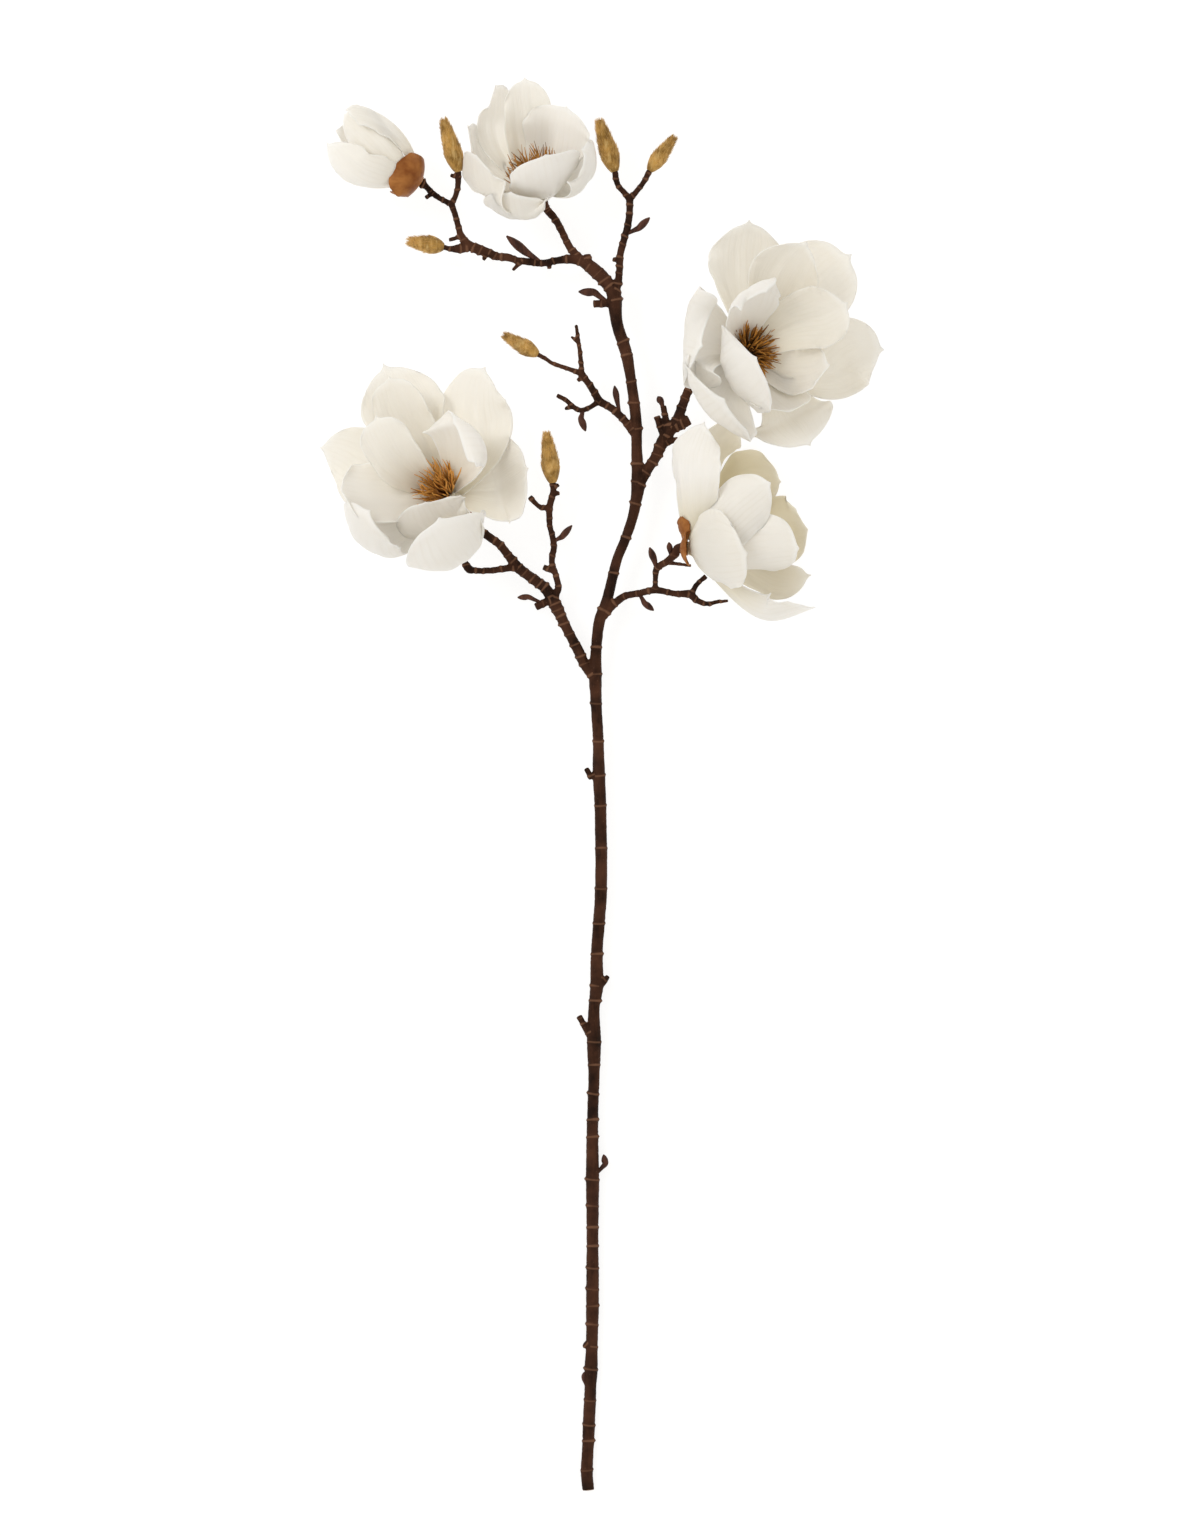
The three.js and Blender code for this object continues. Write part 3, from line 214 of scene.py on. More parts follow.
# Each bloom ends the twig that it names. Its stamens stand about `lean`: the outermost start
# `ring` from their foot and spread `spread` degrees, and `dark` runs from golden to deep brown.
BLOOMS = {}
BLOOMS["bloom_left"] = dict(
    twig="left_branch", heart=[-108.5, 204, 34], axis=[-0.3, 0.34, 0.88],
    stamens=dict(count=130, lean=[-0.55, 0.5, 0.67], spread=50, length=26, ring=5.5, dark=0.05),
    tepals=[
        dict(tip=[-46, 94, -33.8], wide=62, flare=80, lift=75, cup=30, roll=15, sway=4, widest=0.65,
             reach=[0.7, 0.6]),
        dict(tip=[-41, 83, -12], wide=42, flare=95, lift=65, cup=25, rise=1, roll=-10, sway=8, blunt=3,
             reach=[0.25, 0.4]),
        dict(tip=[26, 90, -16], facing=[0.6, 0.8, 0], flare=100, lift=65, cup=20, claw=0.4,
             reach=[0.6, 0.45]),
        dict(tip=[58, 17, 14], facing=[1, 0.1, 0], wide=66, flare=110, lift=55, cup=20, widest=0.75,
             claw=0.4, blunt=3, reach=[0.65, 0.85]),
        dict(tip=[-4, -19, 55], facing=[0.45, -0.9, 0], wide=80, flare=110, lift=-40, cup=70, roll=10,
             sway=-7, reach=[1.25, 0.7]),
        dict(tip=[-53, -13, 41], facing=[-0.6, -0.8, 0], wide=66, flare=105, lift=-65, cup=70, sway=-10,
             reach=[1.15, 0.55]),
        dict(tip=[-90, 34, -28], facing=[-1, 0.2, 0], wide=62, flare=90, lift=90, roll=-30, sway=3,
             widest=0.5, blunt=1.7, reach=[0.45, 0.4]),
        dict(tip=[-72, 2, 28], facing=[-0.95, -0.3, 0], wide=55, flare=70, lift=0, cup=40, rise=2, sway=2,
             reach=[0.25, 0.25]),
        dict(tip=[-14, -7, 41], facing=[0.4, -1, 0], flare=100, lift=-20, cup=40, rise=2, roll=5, sway=-7,
             reach=[1, 0.4]),
        dict(tip=[-49, 53, 31], wide=38, flare=75, lift=65, cup=45, rise=2, roll=-15, sway=15, widest=0.7,
             blunt=3, reach=[0.25, 0.5]),
        dict(tip=[5, 48, 36], facing=[0.6, 0.8, 0], wide=82, flare=70, lift=-60, cup=80, rise=2, sway=-10,
             blunt=3, reach=[0.7, 0.3]),
    ],
    scales=[
        dict(tip=[17, -9, -1], facing=[0.8, -0.5, 0], wide=13, flare=92, lift=40, cup=30),
    ],
)
BLOOMS["bloom_right"] = dict(
    twig="right_branch", heart=[101.5, 303, 36], axis=[0.38, 0.2, 0.9],
    stamens=dict(count=240, lean=[0.38, 0.2, 0.9], spread=76, length=20, ring=7.5, dark=0.75),
    tepals=[
        dict(tip=[1, 94, -12], wide=64, flare=95, lift=45, cup=25, roll=5, sway=-5, reach=[0.55, 0.55]),
        dict(tip=[74, 71, -28], wide=60, flare=80, lift=50, cup=20, sway=4, widest=0.7, blunt=3,
             reach=[0.75, 0.6]),
        dict(tip=[97, 4, -35.8], facing=[1, -0.2, 0], flare=100, lift=75, cup=45, roll=15, sway=-5,
             widest=0.65, reach=[0.9, 0.45]),
        dict(tip=[44, -65, -2], facing=[0.65, -0.75, 0], wide=64, flare=110, lift=75, cup=20, roll=-5,
             sway=5, widest=0.65, blunt=2.5, reach=[1, 0.5]),
        dict(tip=[-18, -36, 46], facing=[-0.7, -0.75, 0], wide=84, flare=110, lift=-30, cup=50, roll=-5,
             reach=[0.8, 0.6]),
        dict(tip=[-32, 1, 40], facing=[-1, 0.1, 0], wide=82, flare=90, lift=-45, cup=65, roll=5, sway=-8,
             blunt=2, reach=[0.8, 0.65]),
        dict(tip=[41, 75, 9], wide=54, flare=75, lift=25, rise=1, sway=2, widest=0.55, blunt=2,
             reach=[0.6, 0.45]),
        dict(tip=[69, 34, 6], facing=[0.8, 0.6, 0], wide=46, flare=55, lift=45, cup=30, rise=2, roll=-5,
             claw=0.5, blunt=2.5, reach=[0.65, 0.45]),
        dict(tip=[55, -9, 14], facing=[0.95, -0.4, 0], wide=40, flare=90, lift=5, cup=45, rise=2, roll=5,
             sway=-10, widest=0.75, claw=0.45, blunt=3, reach=[0.4, 0.5]),
        dict(tip=[28, -42, 24], facing=[0.2, -1, 0], wide=54, flare=100, lift=15, cup=40, rise=1, roll=-5,
             widest=0.7, blunt=2, reach=[0.4, 0.3]),
        dict(tip=[5, -7, 43], facing=[-0.7, -0.7, 0], wide=74, flare=105, lift=-70, cup=45, rise=2,
             roll=-20, sway=-4, widest=0.65, blunt=2.5, reach=[0.85, 0.6]),
        dict(tip=[12, 38, 34], facing=[-0.6, 0.8, 0], flare=60, lift=-75, cup=58, rise=2, roll=-5, sway=-3,
             widest=0.45, blunt=2.5, reach=[0.55, 0.5]),
    ],
    scales=[],
)
BLOOMS["bloom_top"] = dict(
    twig="top_bloom_twig", heart=[-42.5, 417, 28], axis=[-0.15, 0.62, 0.77],
    stamens=dict(count=120, lean=[-0.36, 0.72, 0.6], spread=42, length=30, ring=6.5, dark=0.8),
    tepals=[
        dict(tip=[-32, 74, -7], facing=[-0.75, 0.65, 0], wide=36, flare=75, lift=-10, sway=-3, blunt=1.8,
             reach=[0.65, 0.35]),
        dict(tip=[-12, 79, -2], facing=[-0.2, 0.7, -0.6], wide=38, flare=105, lift=45, cup=45, sway=5,
             widest=0.55, blunt=2.5, reach=[0.3, 0.4]),
        dict(tip=[14, 53, 14], facing=[0.6, 0.7, -0.4], wide=58, flare=75, lift=-5, curl=6, widest=0.65,
             blunt=3, reach=[0.25, 0.25]),
        dict(tip=[-51, 45, 2], facing=[-1, -0.1, -0.1], wide=34, flare=70, lift=0, cup=40, roll=-5, blunt=3,
             reach=[0.6, 0.65]),
        dict(tip=[-21, -5, 37], facing=[-0.3, -0.8, 0.5], wide=58, flare=95, lift=-20, cup=70, roll=5,
             sway=-2, reach=[0.9, 0.6]),
        dict(tip=[-45, 20, 38], facing=[-0.7, -0.6, 0.3], wide=48, flare=80, lift=5, cup=20, sway=-6,
             widest=0.55, reach=[0.85, 0.45]),
        dict(tip=[28, 25, 32], facing=[0.95, -0.15, 0.3], wide=60, flare=105, lift=-30, cup=75, sway=12,
             widest=0.42, blunt=1.6, reach=[0.65, 0.55]),
        dict(tip=[3, 20, 44], facing=[0.5, -0.9, 0], wide=60, lift=-40, cup=50, roll=-5, sway=-3,
             reach=[0.4, 0.25]),
    ],
    scales=[],
)
BLOOMS["bloom_low"] = dict(
    twig="lower_right_up", heart=[63, 165.5, 50], axis=[0.97, 0, 0.2],
    stamens=dict(count=30, lean=[0.97, 0, 0.2], spread=24, length=16, ring=4, dark=0.5),
    tepals=[
        dict(tip=[8, 87, 12], facing=[0, 0.97, 0.25], wide=48, lift=60, cup=40, roll=60, sway=15, claw=0.5,
             blunt=1.8, reach=[0.55, 0.35], shade=0),
        dict(tip=[33, 87, -28], facing=[0.1, 0.7, -0.7], wide=34, lift=5, cup=50, sway=-10, widest=0.75,
             blunt=3, reach=[0.7, 0.35], shade=0.55),
        dict(tip=[63, 48, -30], facing=[0.1, 0.7, -0.7], wide=50, flare=75, lift=-25, cup=20, roll=-20,
             sway=-6, reach=[0.9, 0.4], shade=0.8),
        dict(tip=[80, 14, -33], facing=[0.2, 0.4, -0.9], wide=58, flare=55, lift=-45, sway=-7, blunt=1.8,
             reach=[0.9, 0.25], shade=0.75),
        dict(tip=[83, -17, -32], facing=[0.2, 0.3, -0.9], wide=40, flare=80, lift=30, cup=55, roll=15,
             sway=-7, reach=[0.95, 0.5], shade=0.6),
        dict(tip=[85, -40, -3], facing=[0.1, -0.9, -0.4], wide=58, flare=55, lift=-20, cup=65, roll=-35,
             sway=3, widest=0.5, blunt=1.7, reach=[0.88, 0.42]),
        dict(tip=[73, 0, 21], facing=[-0.2, -0.45, 0.9], wide=58, flare=55, lift=-10, cup=75, roll=5,
             claw=0.15, reach=[0.25, 0.25]),
        dict(tip=[53, 44, 29], facing=[-0.2, 0.15, 1], wide=50, flare=75, lift=-15, cup=60, roll=5, sway=10,
             widest=0.5, blunt=2, reach=[0.25, 0.25]),
        dict(tip=[37, -5, 38], facing=[-0.2, -0.2, 1], wide=68, flare=100, lift=10, cup=55, roll=15, sway=4,
             reach=[0.25, 0.55]),
    ],
    scales=[
        dict(tip=[-2, 22, 4], facing=[-0.1, 0.9, 0.3], wide=14, flare=100, lift=75, cup=35, roll=50),
        dict(tip=[0, -1, 19], facing=[0, -0.1, 1], wide=28, flare=115, lift=30, cup=55, widest=0.5,
             claw=0.8, reach=[0.5, 0.4]),
    ],
)
BLOOMS["bloom_opening"] = dict(
    twig="opening_bloom_twig", heart=[-132.5, 425.5, 28], axis=[-0.8, 0.52, 0.22],
    stamens=None,
    tepals=[
        dict(tip=[-53, 34, -2], facing=[-0.4, -0.2, -0.9], wide=34, flare=55, lift=-30, cup=55, roll=20,
             reach=[0.8, 0.3], shade=0.16),
        dict(tip=[-47, 42, 16], facing=[0.1, -0.2, 1], wide=36, flare=55, lift=-65, cup=75, roll=-5,
             reach=[0.65, 0.25], shade=0.16),
        dict(tip=[-60, 23, 16], facing=[-0.3, -0.7, 0.6], wide=46, flare=55, lift=-50, cup=80, sway=15,
             reach=[0.25, 0.85], shade=0.16),
        dict(tip=[-46, 44, 25], facing=[0.6, 0.7, 0.4], wide=34, flare=55, lift=-65, cup=50, widest=0.55,
             blunt=2.5, reach=[0.45, 0.25], shade=0.16),
    ],
    scales=[
        dict(tip=[-17, 8, 27], facing=[0, 0.1, 1], wide=36, flare=90, lift=-35, cup=50, roll=8, widest=0.5,
             claw=0.8, blunt=3, reach=[0.7, 0.4]),
        dict(tip=[-20, -7, 4], facing=[-0.2, -0.9, 0], wide=18, flare=85, lift=-10, cup=50, claw=0.5),
    ],
)

# Shut flower buds in their furry coats: base, tip and greatest width.
FURRY_BUDS = {
    "bud_upper_left": [[-101, 430.9, 29.1], [-111, 465.5, 33], 13.5],
    "bud_far_left": [[-112.3, 377.3, 27.6], [-135.5, 381, 29], 13],
    "bud_top_left": [[8.3, 431, 28.5], [-2.5, 465.5, 30], 14],
    "bud_top_right": [[33.5, 431.4, 28.1], [50, 453.5, 29], 11.5],
    "bud_mid_left": [[-46.3, 302.5, 27.7], [-68.5, 315, 29], 11.5],
    "bud_low_left": [[-35, 213.5, 26.2], [-39, 246.5, 29], 13.3],
}

# ------------------------ sizes that only the looks use
WOOD_VOXEL = 0.75  # the grain of the wood's mesh
STEM_AROUND = 24  # sides of a rod before the wood is fused
TWIG_AROUND = 14
FOOT_DROP = 3.8  # how far under its heart the stalk of a bloom ends
SCALE_DROP = 3  # how much lower it ends where the bloom has scales
FOOT_BEND = 4  # length of the last straight part, up the bloom's axis
FOOT_SWELL = 0.4  # how much thicker than its twig it is where it bends
FOOT_WIDTH = 7.6  # its diameter at the end
RING_HEIGHT = 0.5  # a leaf-scar ring above the bark
RING_WIDTH = 0.85
RING_TILT = 0.5  # how far along the rod a ring leans towards its scar
RING_REACH = 5  # a ring leaves the bark alone beyond this distance
FIRST_RINGS = (2, 5)  # how far up a twig its first ring sits, and how far apart the others
RING_STEPS = (4.5, 9.5)
RING_SIZES = (0.6, 1.15)
GROOVE_DEPTH = 0.14  # the groove past a ring
GROOVE_WIDTH = 0.7
GROOVE_PLACE = 1.6  # how far past the ring it lies
SCAR_HEIGHT = 0.85  # the raised pad on one side of a ring
SCAR_WIDTH = 1.5
WRINKLE = 0.2  # lengthwise wrinkles of the bark
PITS = 0.16  # its finer unevenness
FULL_BARK = 4  # a rod of a smaller radius than this has lower rings and scars
CUT_DEPTH = 0.35  # the pale skin of the cut end
CUT_REGION = -480  # nothing farther up the branch than this belongs to the cut
TEPAL_SKIN = 0.7  # thickness of a tepal and of a scale
BUTTON_ROUND = 0.7  # rounding of a receptacle's or collar's rims
LOWEST = 0.15  # nothing of the branch is nearer the floor than this
CLOSED_LIFT, OPEN_LIFT = -35, 25  # the lift of a shut tepal, and of a wide open one
OPENED_SHADE = 0.26  # how much more painted shade a wide open tepal gets than a shut one
SHADE_FADE = 0.3  # how much of its shade a tepal loses at the tip
TIP_SHARE = 0.8  # how much of the curve of its end a tepal has, so its tip stays wide
TIP_BEND = 2.2  # how far a tip bends up or down at most
PLEAT = 0.35  # height of the soft lengthwise folds of a tepal
# Of tepals and of scales: faces across and along one, how far under the heart they start, what
# they change in PLAIN_TEPAL, and the button that they grow from, which is the receptacle or a
# collar: from and to, above the heart, and its two radii.
BLADE_KINDS = {
    "tepal": ((34, 46), 0, {}, "receptacle", (-3.4, 2.6, 4.6, 6.6)),
    "scale": ((18, 26), 5.1, dict(root=3.6, edge_roll=0, ruffle=0.35), "collar", (-6.4, -3.8, 4.4, 5.4)),
}
BLADE_MARKS = ("across", "along", "shade")  # what their meshes keep of each place on them
# The waves of a tepal's rim: height, how late they rise towards the rim, and how fast they come.
RUFFLES = [[1.5, 2, 8], [0.9, 4, 19], [0.35, 6, 37]]
STAMEN_FOOT = 2.4  # where the stamens start above the heart
GOLDEN_TURN = 2.39996
STAMEN_WIDTHS = (0.85, 1.35)
STAMEN_LENGTHS = (0.7, 1.05)  # as shares of the bloom's own stamen length
# A stamen: share of its length, width there, and how much of its bow and its twist it has.
STAMEN_SHAPE = [[0, 1, 0, 0], [0.35, 1.15, 0, 0.4], [0.7, 0.95, 0.4, 1], [0.95, 0.28, 1, 0]]
# The cone inside the stamens: share of their length, and its diameter there.
CONE_SHAPE = [[0, 6.4], [0.25, 5.6], [0.5, 2.4], [0.62, 0.5]]
# A leaf bud: which of its three places it has passed, how far on to the next, and its width there.
LEAF_BUD_SHAPE = [
    [0, 0, 0.55], [0, 0.6, 0.75], [0, 1, 1], [1, 0.28, 1.15], [1, 0.56, 0.86], [1, 0.8, 0.22],
]
# A furry bud: share of its length, and its width there as a share of the greatest.
FURRY_SHAPE = [
    [0, 0.4], [0.08, 0.66], [0.25, 0.97], [0.4, 1], [0.62, 0.84], [0.82, 0.64], [0.94, 0.44], [1, 0.2],
]
COAT_SHARE = 0.94  # the coat's part of a furry bud's width, under its hairs
BUD_SINK = 1.4  # how far a furry bud reaches down over the end of its twig
HAIRS_PER_BUD = 900
HAIR_WIDTHS = (0.14, 0.02)  # radii of a hair's root and point
HAIR_LENGTHS = (1.6, 3.4)
HAIR_LEANS = (0.12, 0.4)  # how far hairs stand off the coat


# ------------------------ curves
def catmull_rom(points, t):
    """The point at t, 0 to 1, on a smooth curve through points, which may have any dimension."""
    place = t * (len(points) - 1)
    first = min(int(place), len(points) - 2)
    weight = place - first
    b, c = points[first], points[first + 1]
    a = points[first - 1] if first > 0 else b * 2 - c
    d = points[first + 2] if first + 2 < len(points) else c * 2 - b
    gap_ab, gap_bc, gap_cd = (max((q - p).length, 1e-4) ** 0.5 for p, q in ((a, b), (b, c), (c, d)))
    leave = ((b - a) / gap_ab - (c - a) / (gap_ab + gap_bc) + (c - b) / gap_bc) * gap_bc
    arrive = ((c - b) / gap_bc - (d - b) / (gap_bc + gap_cd) + (d - c) / gap_cd) * gap_bc
    square = weight * weight
    cube = square * weight
    return (b * (2 * cube - 3 * square + 1) + leave * (cube - 2 * square + weight)
            + c * (3 * square - 2 * cube) + arrive * (cube - square))


class Route:
    """A smooth centre line with a diameter all along it, sampled at even steps."""

    def __init__(self, points, step=1.0):
        places = [Vector(p[:3]) for p in points]
        length = sum((q - p).length for p, q in zip(places, places[1:]))
        count = max(int(length / step), 4)
        widths = [Vector((i, p[3])) for i, p in enumerate(points)]
        self.centres = [catmull_rom(places, i / count) for i in range(count + 1)]
        self.radii = [catmull_rom(widths, i / count)[1] / 2 for i in range(count + 1)]
        self.distances = [0.0]
        for p, q in zip(self.centres, self.centres[1:]):
            self.distances.append(self.distances[-1] + (q - p).length)
        self.tangents = []
        for i in range(count + 1):
            before = self.centres[max(i - 1, 0)]
            after = self.centres[min(i + 1, count)]
            self.tangents.append((after - before).normalized())
        self.sides = []
        side = square_to(self.tangents[0])
        for tangent in self.tangents:
            side = (side - tangent * side.dot(tangent)).normalized()
            self.sides.append(side)
        self.count = count

    def ring_point(self, t, angle, swell=0.0):
        i = round(t * self.count)
        side = self.sides[i]
        other = self.tangents[i].cross(side)
        radius = self.radii[i] + swell
        return self.centres[i] + (side * math.cos(angle) + other * math.sin(angle)) * radius


def square_to(axis):
    """Any direction square to axis, chosen alike every time."""
    helper = UP if abs(axis.z) < 0.8 else Vector((1, 0, 0))
    return (helper - axis * helper.dot(axis)).normalized()


def bell(distance, width):
    return math.exp(-(distance / width) ** 2)


# ------------------------ mesh helpers
def sleeve(bm, route, around):
    """A closed round rod along a route, added to bm. Its new vertices come back."""
    made = bmesh.ops.create_grid(bm, x_segments=around, y_segments=route.count, size=1)["verts"]
    for v in made:
        v.co = route.ring_point((v.co.y + 1) / 2, math.pi * v.co.x) * MM
    bmesh.ops.remove_doubles(bm, verts=made, dist=1e-7)
    made = [v for v in made if v.is_valid]
    ends = {e for v in made for e in v.link_edges if e.is_boundary}
    bmesh.ops.holes_fill(bm, edges=list(ends), sides=0)
    return made


def mesh_of(bm, name):
    mesh = bpy.data.meshes.new(name)
    bm.to_mesh(mesh)
    bm.free()
    return mesh


def add_object(name, data):
    made = bpy.data.objects.new(name, data)
    bpy.context.scene.collection.objects.link(made)
    return made


def place_piece(name, shape, material, node, smooth=True):
    """Puts a mesh or a bmesh in the scene as a piece that stands for a node of the frame."""
    mesh = mesh_of(shape, name) if isinstance(shape, bmesh.types.BMesh) else shape
    mesh.polygons.foreach_set("use_smooth", [smooth] * len(mesh.polygons))
    mesh.materials.clear()
    mesh.materials.append(material)
    piece = add_object(name, mesh)
    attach(piece, "root")
    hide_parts(node)
    return piece


# ------------------------ shader maths
class Value:
    """A socket of a material, so that shader maths reads as plain arithmetic."""

    def __init__(self, finish, socket):
        self.finish = finish
        self.socket = socket

    def math(self, operation, *others):
        inputs = {i: value for i, value in enumerate((self, *others))}
        return self.finish.node("Math", {"operation": operation}, inputs)

    def __add__(self, other):
        return self.math("ADD", other)

    def __rsub__(self, other):
        return self.finish.node("Math", {"operation": "SUBTRACT"}, {0: other, 1: self})

    def __mul__(self, other):
        return self.math("MULTIPLY", other)

    def __pow__(self, other):
        return self.math("POWER", other)

    def fit(self, low, high, new_low=0.0, new_high=1.0):
        """This value with low..high stretched to new_low..new_high, and held there."""
        return self.finish.node("MapRange", {"clamp": True}, {
            "Value": self, "From Min": low, "From Max": high, "To Min": new_low, "To Max": new_high})


def socket_name(words):
    """The shader's own name for a socket that is written as a Python word."""
    return words.replace("_", " ").title().replace("Ior", "IOR")


class Finish:
    """A material in the making: its node tree, its shader, and one method for every other node."""

    def __init__(self, name, **constants):
        self.material = bpy.data.materials.new(name)
        self.material.use_nodes = True
        self.tree = self.material.node_tree
        self.shader = self.tree.nodes["Principled BSDF"]
        for words, constant in constants.items():
            self.shader.inputs[socket_name(words)].default_value = constant

    def node(self, kind, settings=None, inputs=None, output=0):
        made = self.tree.nodes.new("ShaderNode" + kind)
        for key, setting in (settings or {}).items():
            setattr(made, key, setting)
        for key, value in (inputs or {}).items():
            self.put(made.inputs[key], value)
        return Value(self, made.outputs[output])

    def put(self, socket, value):
        if isinstance(value, Value):
            self.tree.links.new(value.socket, socket)
        else:
            socket.default_value = value

    def feed(self, **values):
        for words, value in values.items():
            self.put(self.shader.inputs[socket_name(words)], value)

    def place(self):
        return self.node("TexCoord", output=3)

    def mark(self, name):
        """A number that the mesh carries under this name."""
        return self.node("Attribute", {"attribute_name": name}, output=2)

    def stretched(self, x, y, z):
        return self.node("Mapping", inputs={"Vector": self.place(), "Scale": (x, y, z)})

    def uv_sheet(self):
        """A tepal's own crosswise and lengthwise place, drawn out lengthwise."""
        across = self.mark("across")
        return self.node("CombineXYZ", inputs={"X": across, "Y": self.mark("along") * 0.12})

    def speckle(self, scale, detail=3.0, roughness=0.55, vector=None):
        return self.node("TexNoise", inputs={
            "Vector": vector or self.place(), "Scale": scale, "Detail": detail, "Roughness": roughness})

    def mix(self, amount, low, high):
        return self.node("Mix", {"data_type": "RGBA"}, {0: amount, 6: low, 7: high}, output=2)

    def relief(self, height, distance, strength=1.0):
        bump = self.node("Bump", inputs={"Height": height, "Distance": distance, "Strength": strength})
        self.feed(normal=bump)


def color(red, green, blue):
    """An sRGB colour of 0 to 255 as the linear colour that a socket takes."""
    def linear(c):
        c /= 255
        return c / 12.92 if c <= 0.04045 else ((c + 0.055) / 1.055) ** 2.4
    return (linear(red), linear(green), linear(blue), 1)


# ------------------------ finishes
def make_bark():
    bark = Finish("dark_bark", roughness=0.72, specular_ior_level=0.08)
    scar = bark.mark("scar")
    cut = bark.mark("cut")
    blotches = bark.speckle(55, 4)
    streaks = bark.speckle(300, 3, 0.6, bark.stretched(1, 0.14, 1))
    pores = bark.node("TexVoronoi", {"feature": "F1"}, {"Vector": bark.stretched(1, 0.55, 1), "Scale": 420})
    base = bark.mix(blotches.fit(0.35, 0.68), color(34, 19, 11), color(78, 48, 33))
    base = bark.mix(streaks.fit(0.5, 0.78, 0, 0.45), base, color(88, 57, 40))
    base = bark.mix(scar.fit(0.35, 1.0, 0, 0.7), base, color(126, 90, 68))
    base = bark.mix(pores.fit(0.1, 0.02, 0, 0.45), base, color(136, 108, 86))
    base = bark.mix(cut, base, color(140, 102, 72))
    bark.feed(base_color=base, roughness=streaks.fit(0.3, 0.7, 0.55, 0.8))
    bark.relief(streaks * 0.6 + bark.speckle(900, 3) * 0.4, 0.0004, 0.6)
    return bark.material


def make_leaf_bud_brown():
    brown = Finish("leaf_bud_brown", roughness=0.6, specular_ior_level=0.2)
    streaks = brown.speckle(260, 3, 0.6, brown.stretched(1, 0.25, 1))
    base = brown.mix(streaks.fit(0.35, 0.7), color(52, 28, 20), color(98, 60, 44))
    brown.feed(base_color=base)
    brown.relief(streaks, 0.0003, 0.5)
    return brown.material


def make_tepal_white(name, deep):
    """The white of the tepals, with painted shade in cream-beige towards the claw and where the shade mark
    says.
    """
    white = Finish(name, roughness=0.5, specular_ior_level=0.3, subsurface_weight=0.45,
                   subsurface_scale=0.005, sheen_weight=0.12, sheen_roughness=0.5,
                   subsurface_radius=(1.0, 0.94, 0.86))
    across = white.mark("across")
    along = white.mark("along")
    drift = white.speckle(28, 2)
    veins = (across * (1.6 - along * 0.5) * 31 + drift * 9).math("SINE")
    veins = veins.fit(0.2, 1.0) * white.speckle(35, 2).fit(0.4, 0.65)
    mottle = white.speckle(16, 4)
    # Painted highlight: a near-white band along each tepal's rims and tip.
    rim = across.math("ABSOLUTE").math("MAXIMUM", along).fit(0.93, 0.985)
    # Painted shade: the colour given as deep darkens each tepal towards its claw, deep in the bloom.
    base = white.mix((1 - along).fit(0.5, 1.0) ** 1.4, color(250, 247, 241), color(*deep))
    base = white.mix(mottle.fit(0.4, 0.7, 0, 0.4), base, color(238, 231, 217))
    base = white.mix(veins * 0.1, base, color(222, 212, 192))
    base = white.mix(rim * 0.85, base, color(255, 254, 250))
    # Painted shade: each tepal is darkened towards cream-beige as far as its shade mark says.
    base = white.mix(white.mark("shade"), base, color(206, 190, 146))
    white.feed(base_color=base, roughness=mottle.fit(0.3, 0.7, 0.42, 0.58))
    creases = white.speckle(30, 3, 0.5, white.uv_sheet())
    white.relief(veins * 0.3 + white.speckle(45, 3) * 0.6 + creases * 0.8, 0.0007, 0.35)
    return white.material


def make_stamen_brown(name, dark):
    """The brown of one bloom's stamens, from golden where dark is 0 to deep brown where it is 1."""
    def darkened(golden, deep):
        return color(*(g + (d - g) * dark for g, d in zip(golden, deep)))

    brown = Finish(name, roughness=0.55, specular_ior_level=0.2)
    tipward = brown.mark("tipward")
    tone = brown.mark("tone")
    low = darkened((84, 46, 14), (34, 20, 8))
    high = darkened((240, 178, 92), (190, 132, 58))
    base = brown.mix(tipward.fit(0.2, 0.75), low, high)
    base = brown.mix(tone.fit(0.3, 1.0, 0.0, 0.8), base, darkened((124, 72, 22), (68, 38, 22)))
    brown.feed(base_color=base)
    return brown.material


def make_mottled(name, low, high, blotch, grain, stretch, tints, bump, **constants):
    """Blotches of two colours with lengthwise streaks of others over them."""
    mottled = Finish(name, **constants)
    blotches = mottled.speckle(*blotch)
    streaks = mottled.speckle(grain, 3, 0.6, mottled.stretched(*stretch))
    base = mottled.mix(blotches.fit(0.35, 0.65), color(*low), color(*high))
    for start, end, amount, tint in tints:
        base = mottled.mix(streaks.fit(start, end, 0, amount), base, color(*tint))
    mottled.feed(base_color=base)
    mottled.relief(streaks, *bump)
    return mottled.material


def make_scale_copper():
    return make_mottled(
        "scale_copper", (128, 70, 22), (174, 114, 56), (70, 3), 330, (0.3, 1, 1),
        [(0.5, 0.75, 0.4, (104, 52, 14))], (0.0003, 0.5), roughness=0.5, specular_ior_level=0.2)


def make_fur_tan(name, low, high):
    return make_mottled(
        name, low, high, (120, 4), 420, (1, 0.22, 1),
        [(0.52, 0.68, 0.6, (222, 190, 128)), (0.44, 0.34, 0.55, (112, 82, 36))], (0.0006, 0.8),
        roughness=0.85, specular_ior_level=0.1, sheen_weight=0.2)


# ------------------------ the wood
def ring_places(route, chance, name):
    """How far along a route its rings sit, which way each one's scar looks, and its size."""
    places = []
    if name == "stem":
        heights = [c.y for c in route.centres]
        for ring in STEM_RINGS:
            nearest = min(range(len(heights)), key=lambda i: abs(heights[i] - ring))
            places.append(route.distances[nearest])
    else:
        place = chance.uniform(*FIRST_RINGS)
        while place < route.distances[-1]:
            places.append(place)
            place += chance.uniform(*RING_STEPS)
    return [(place, chance.uniform(0, 2 * math.pi), chance.uniform(*RING_SIZES)) for place in places]


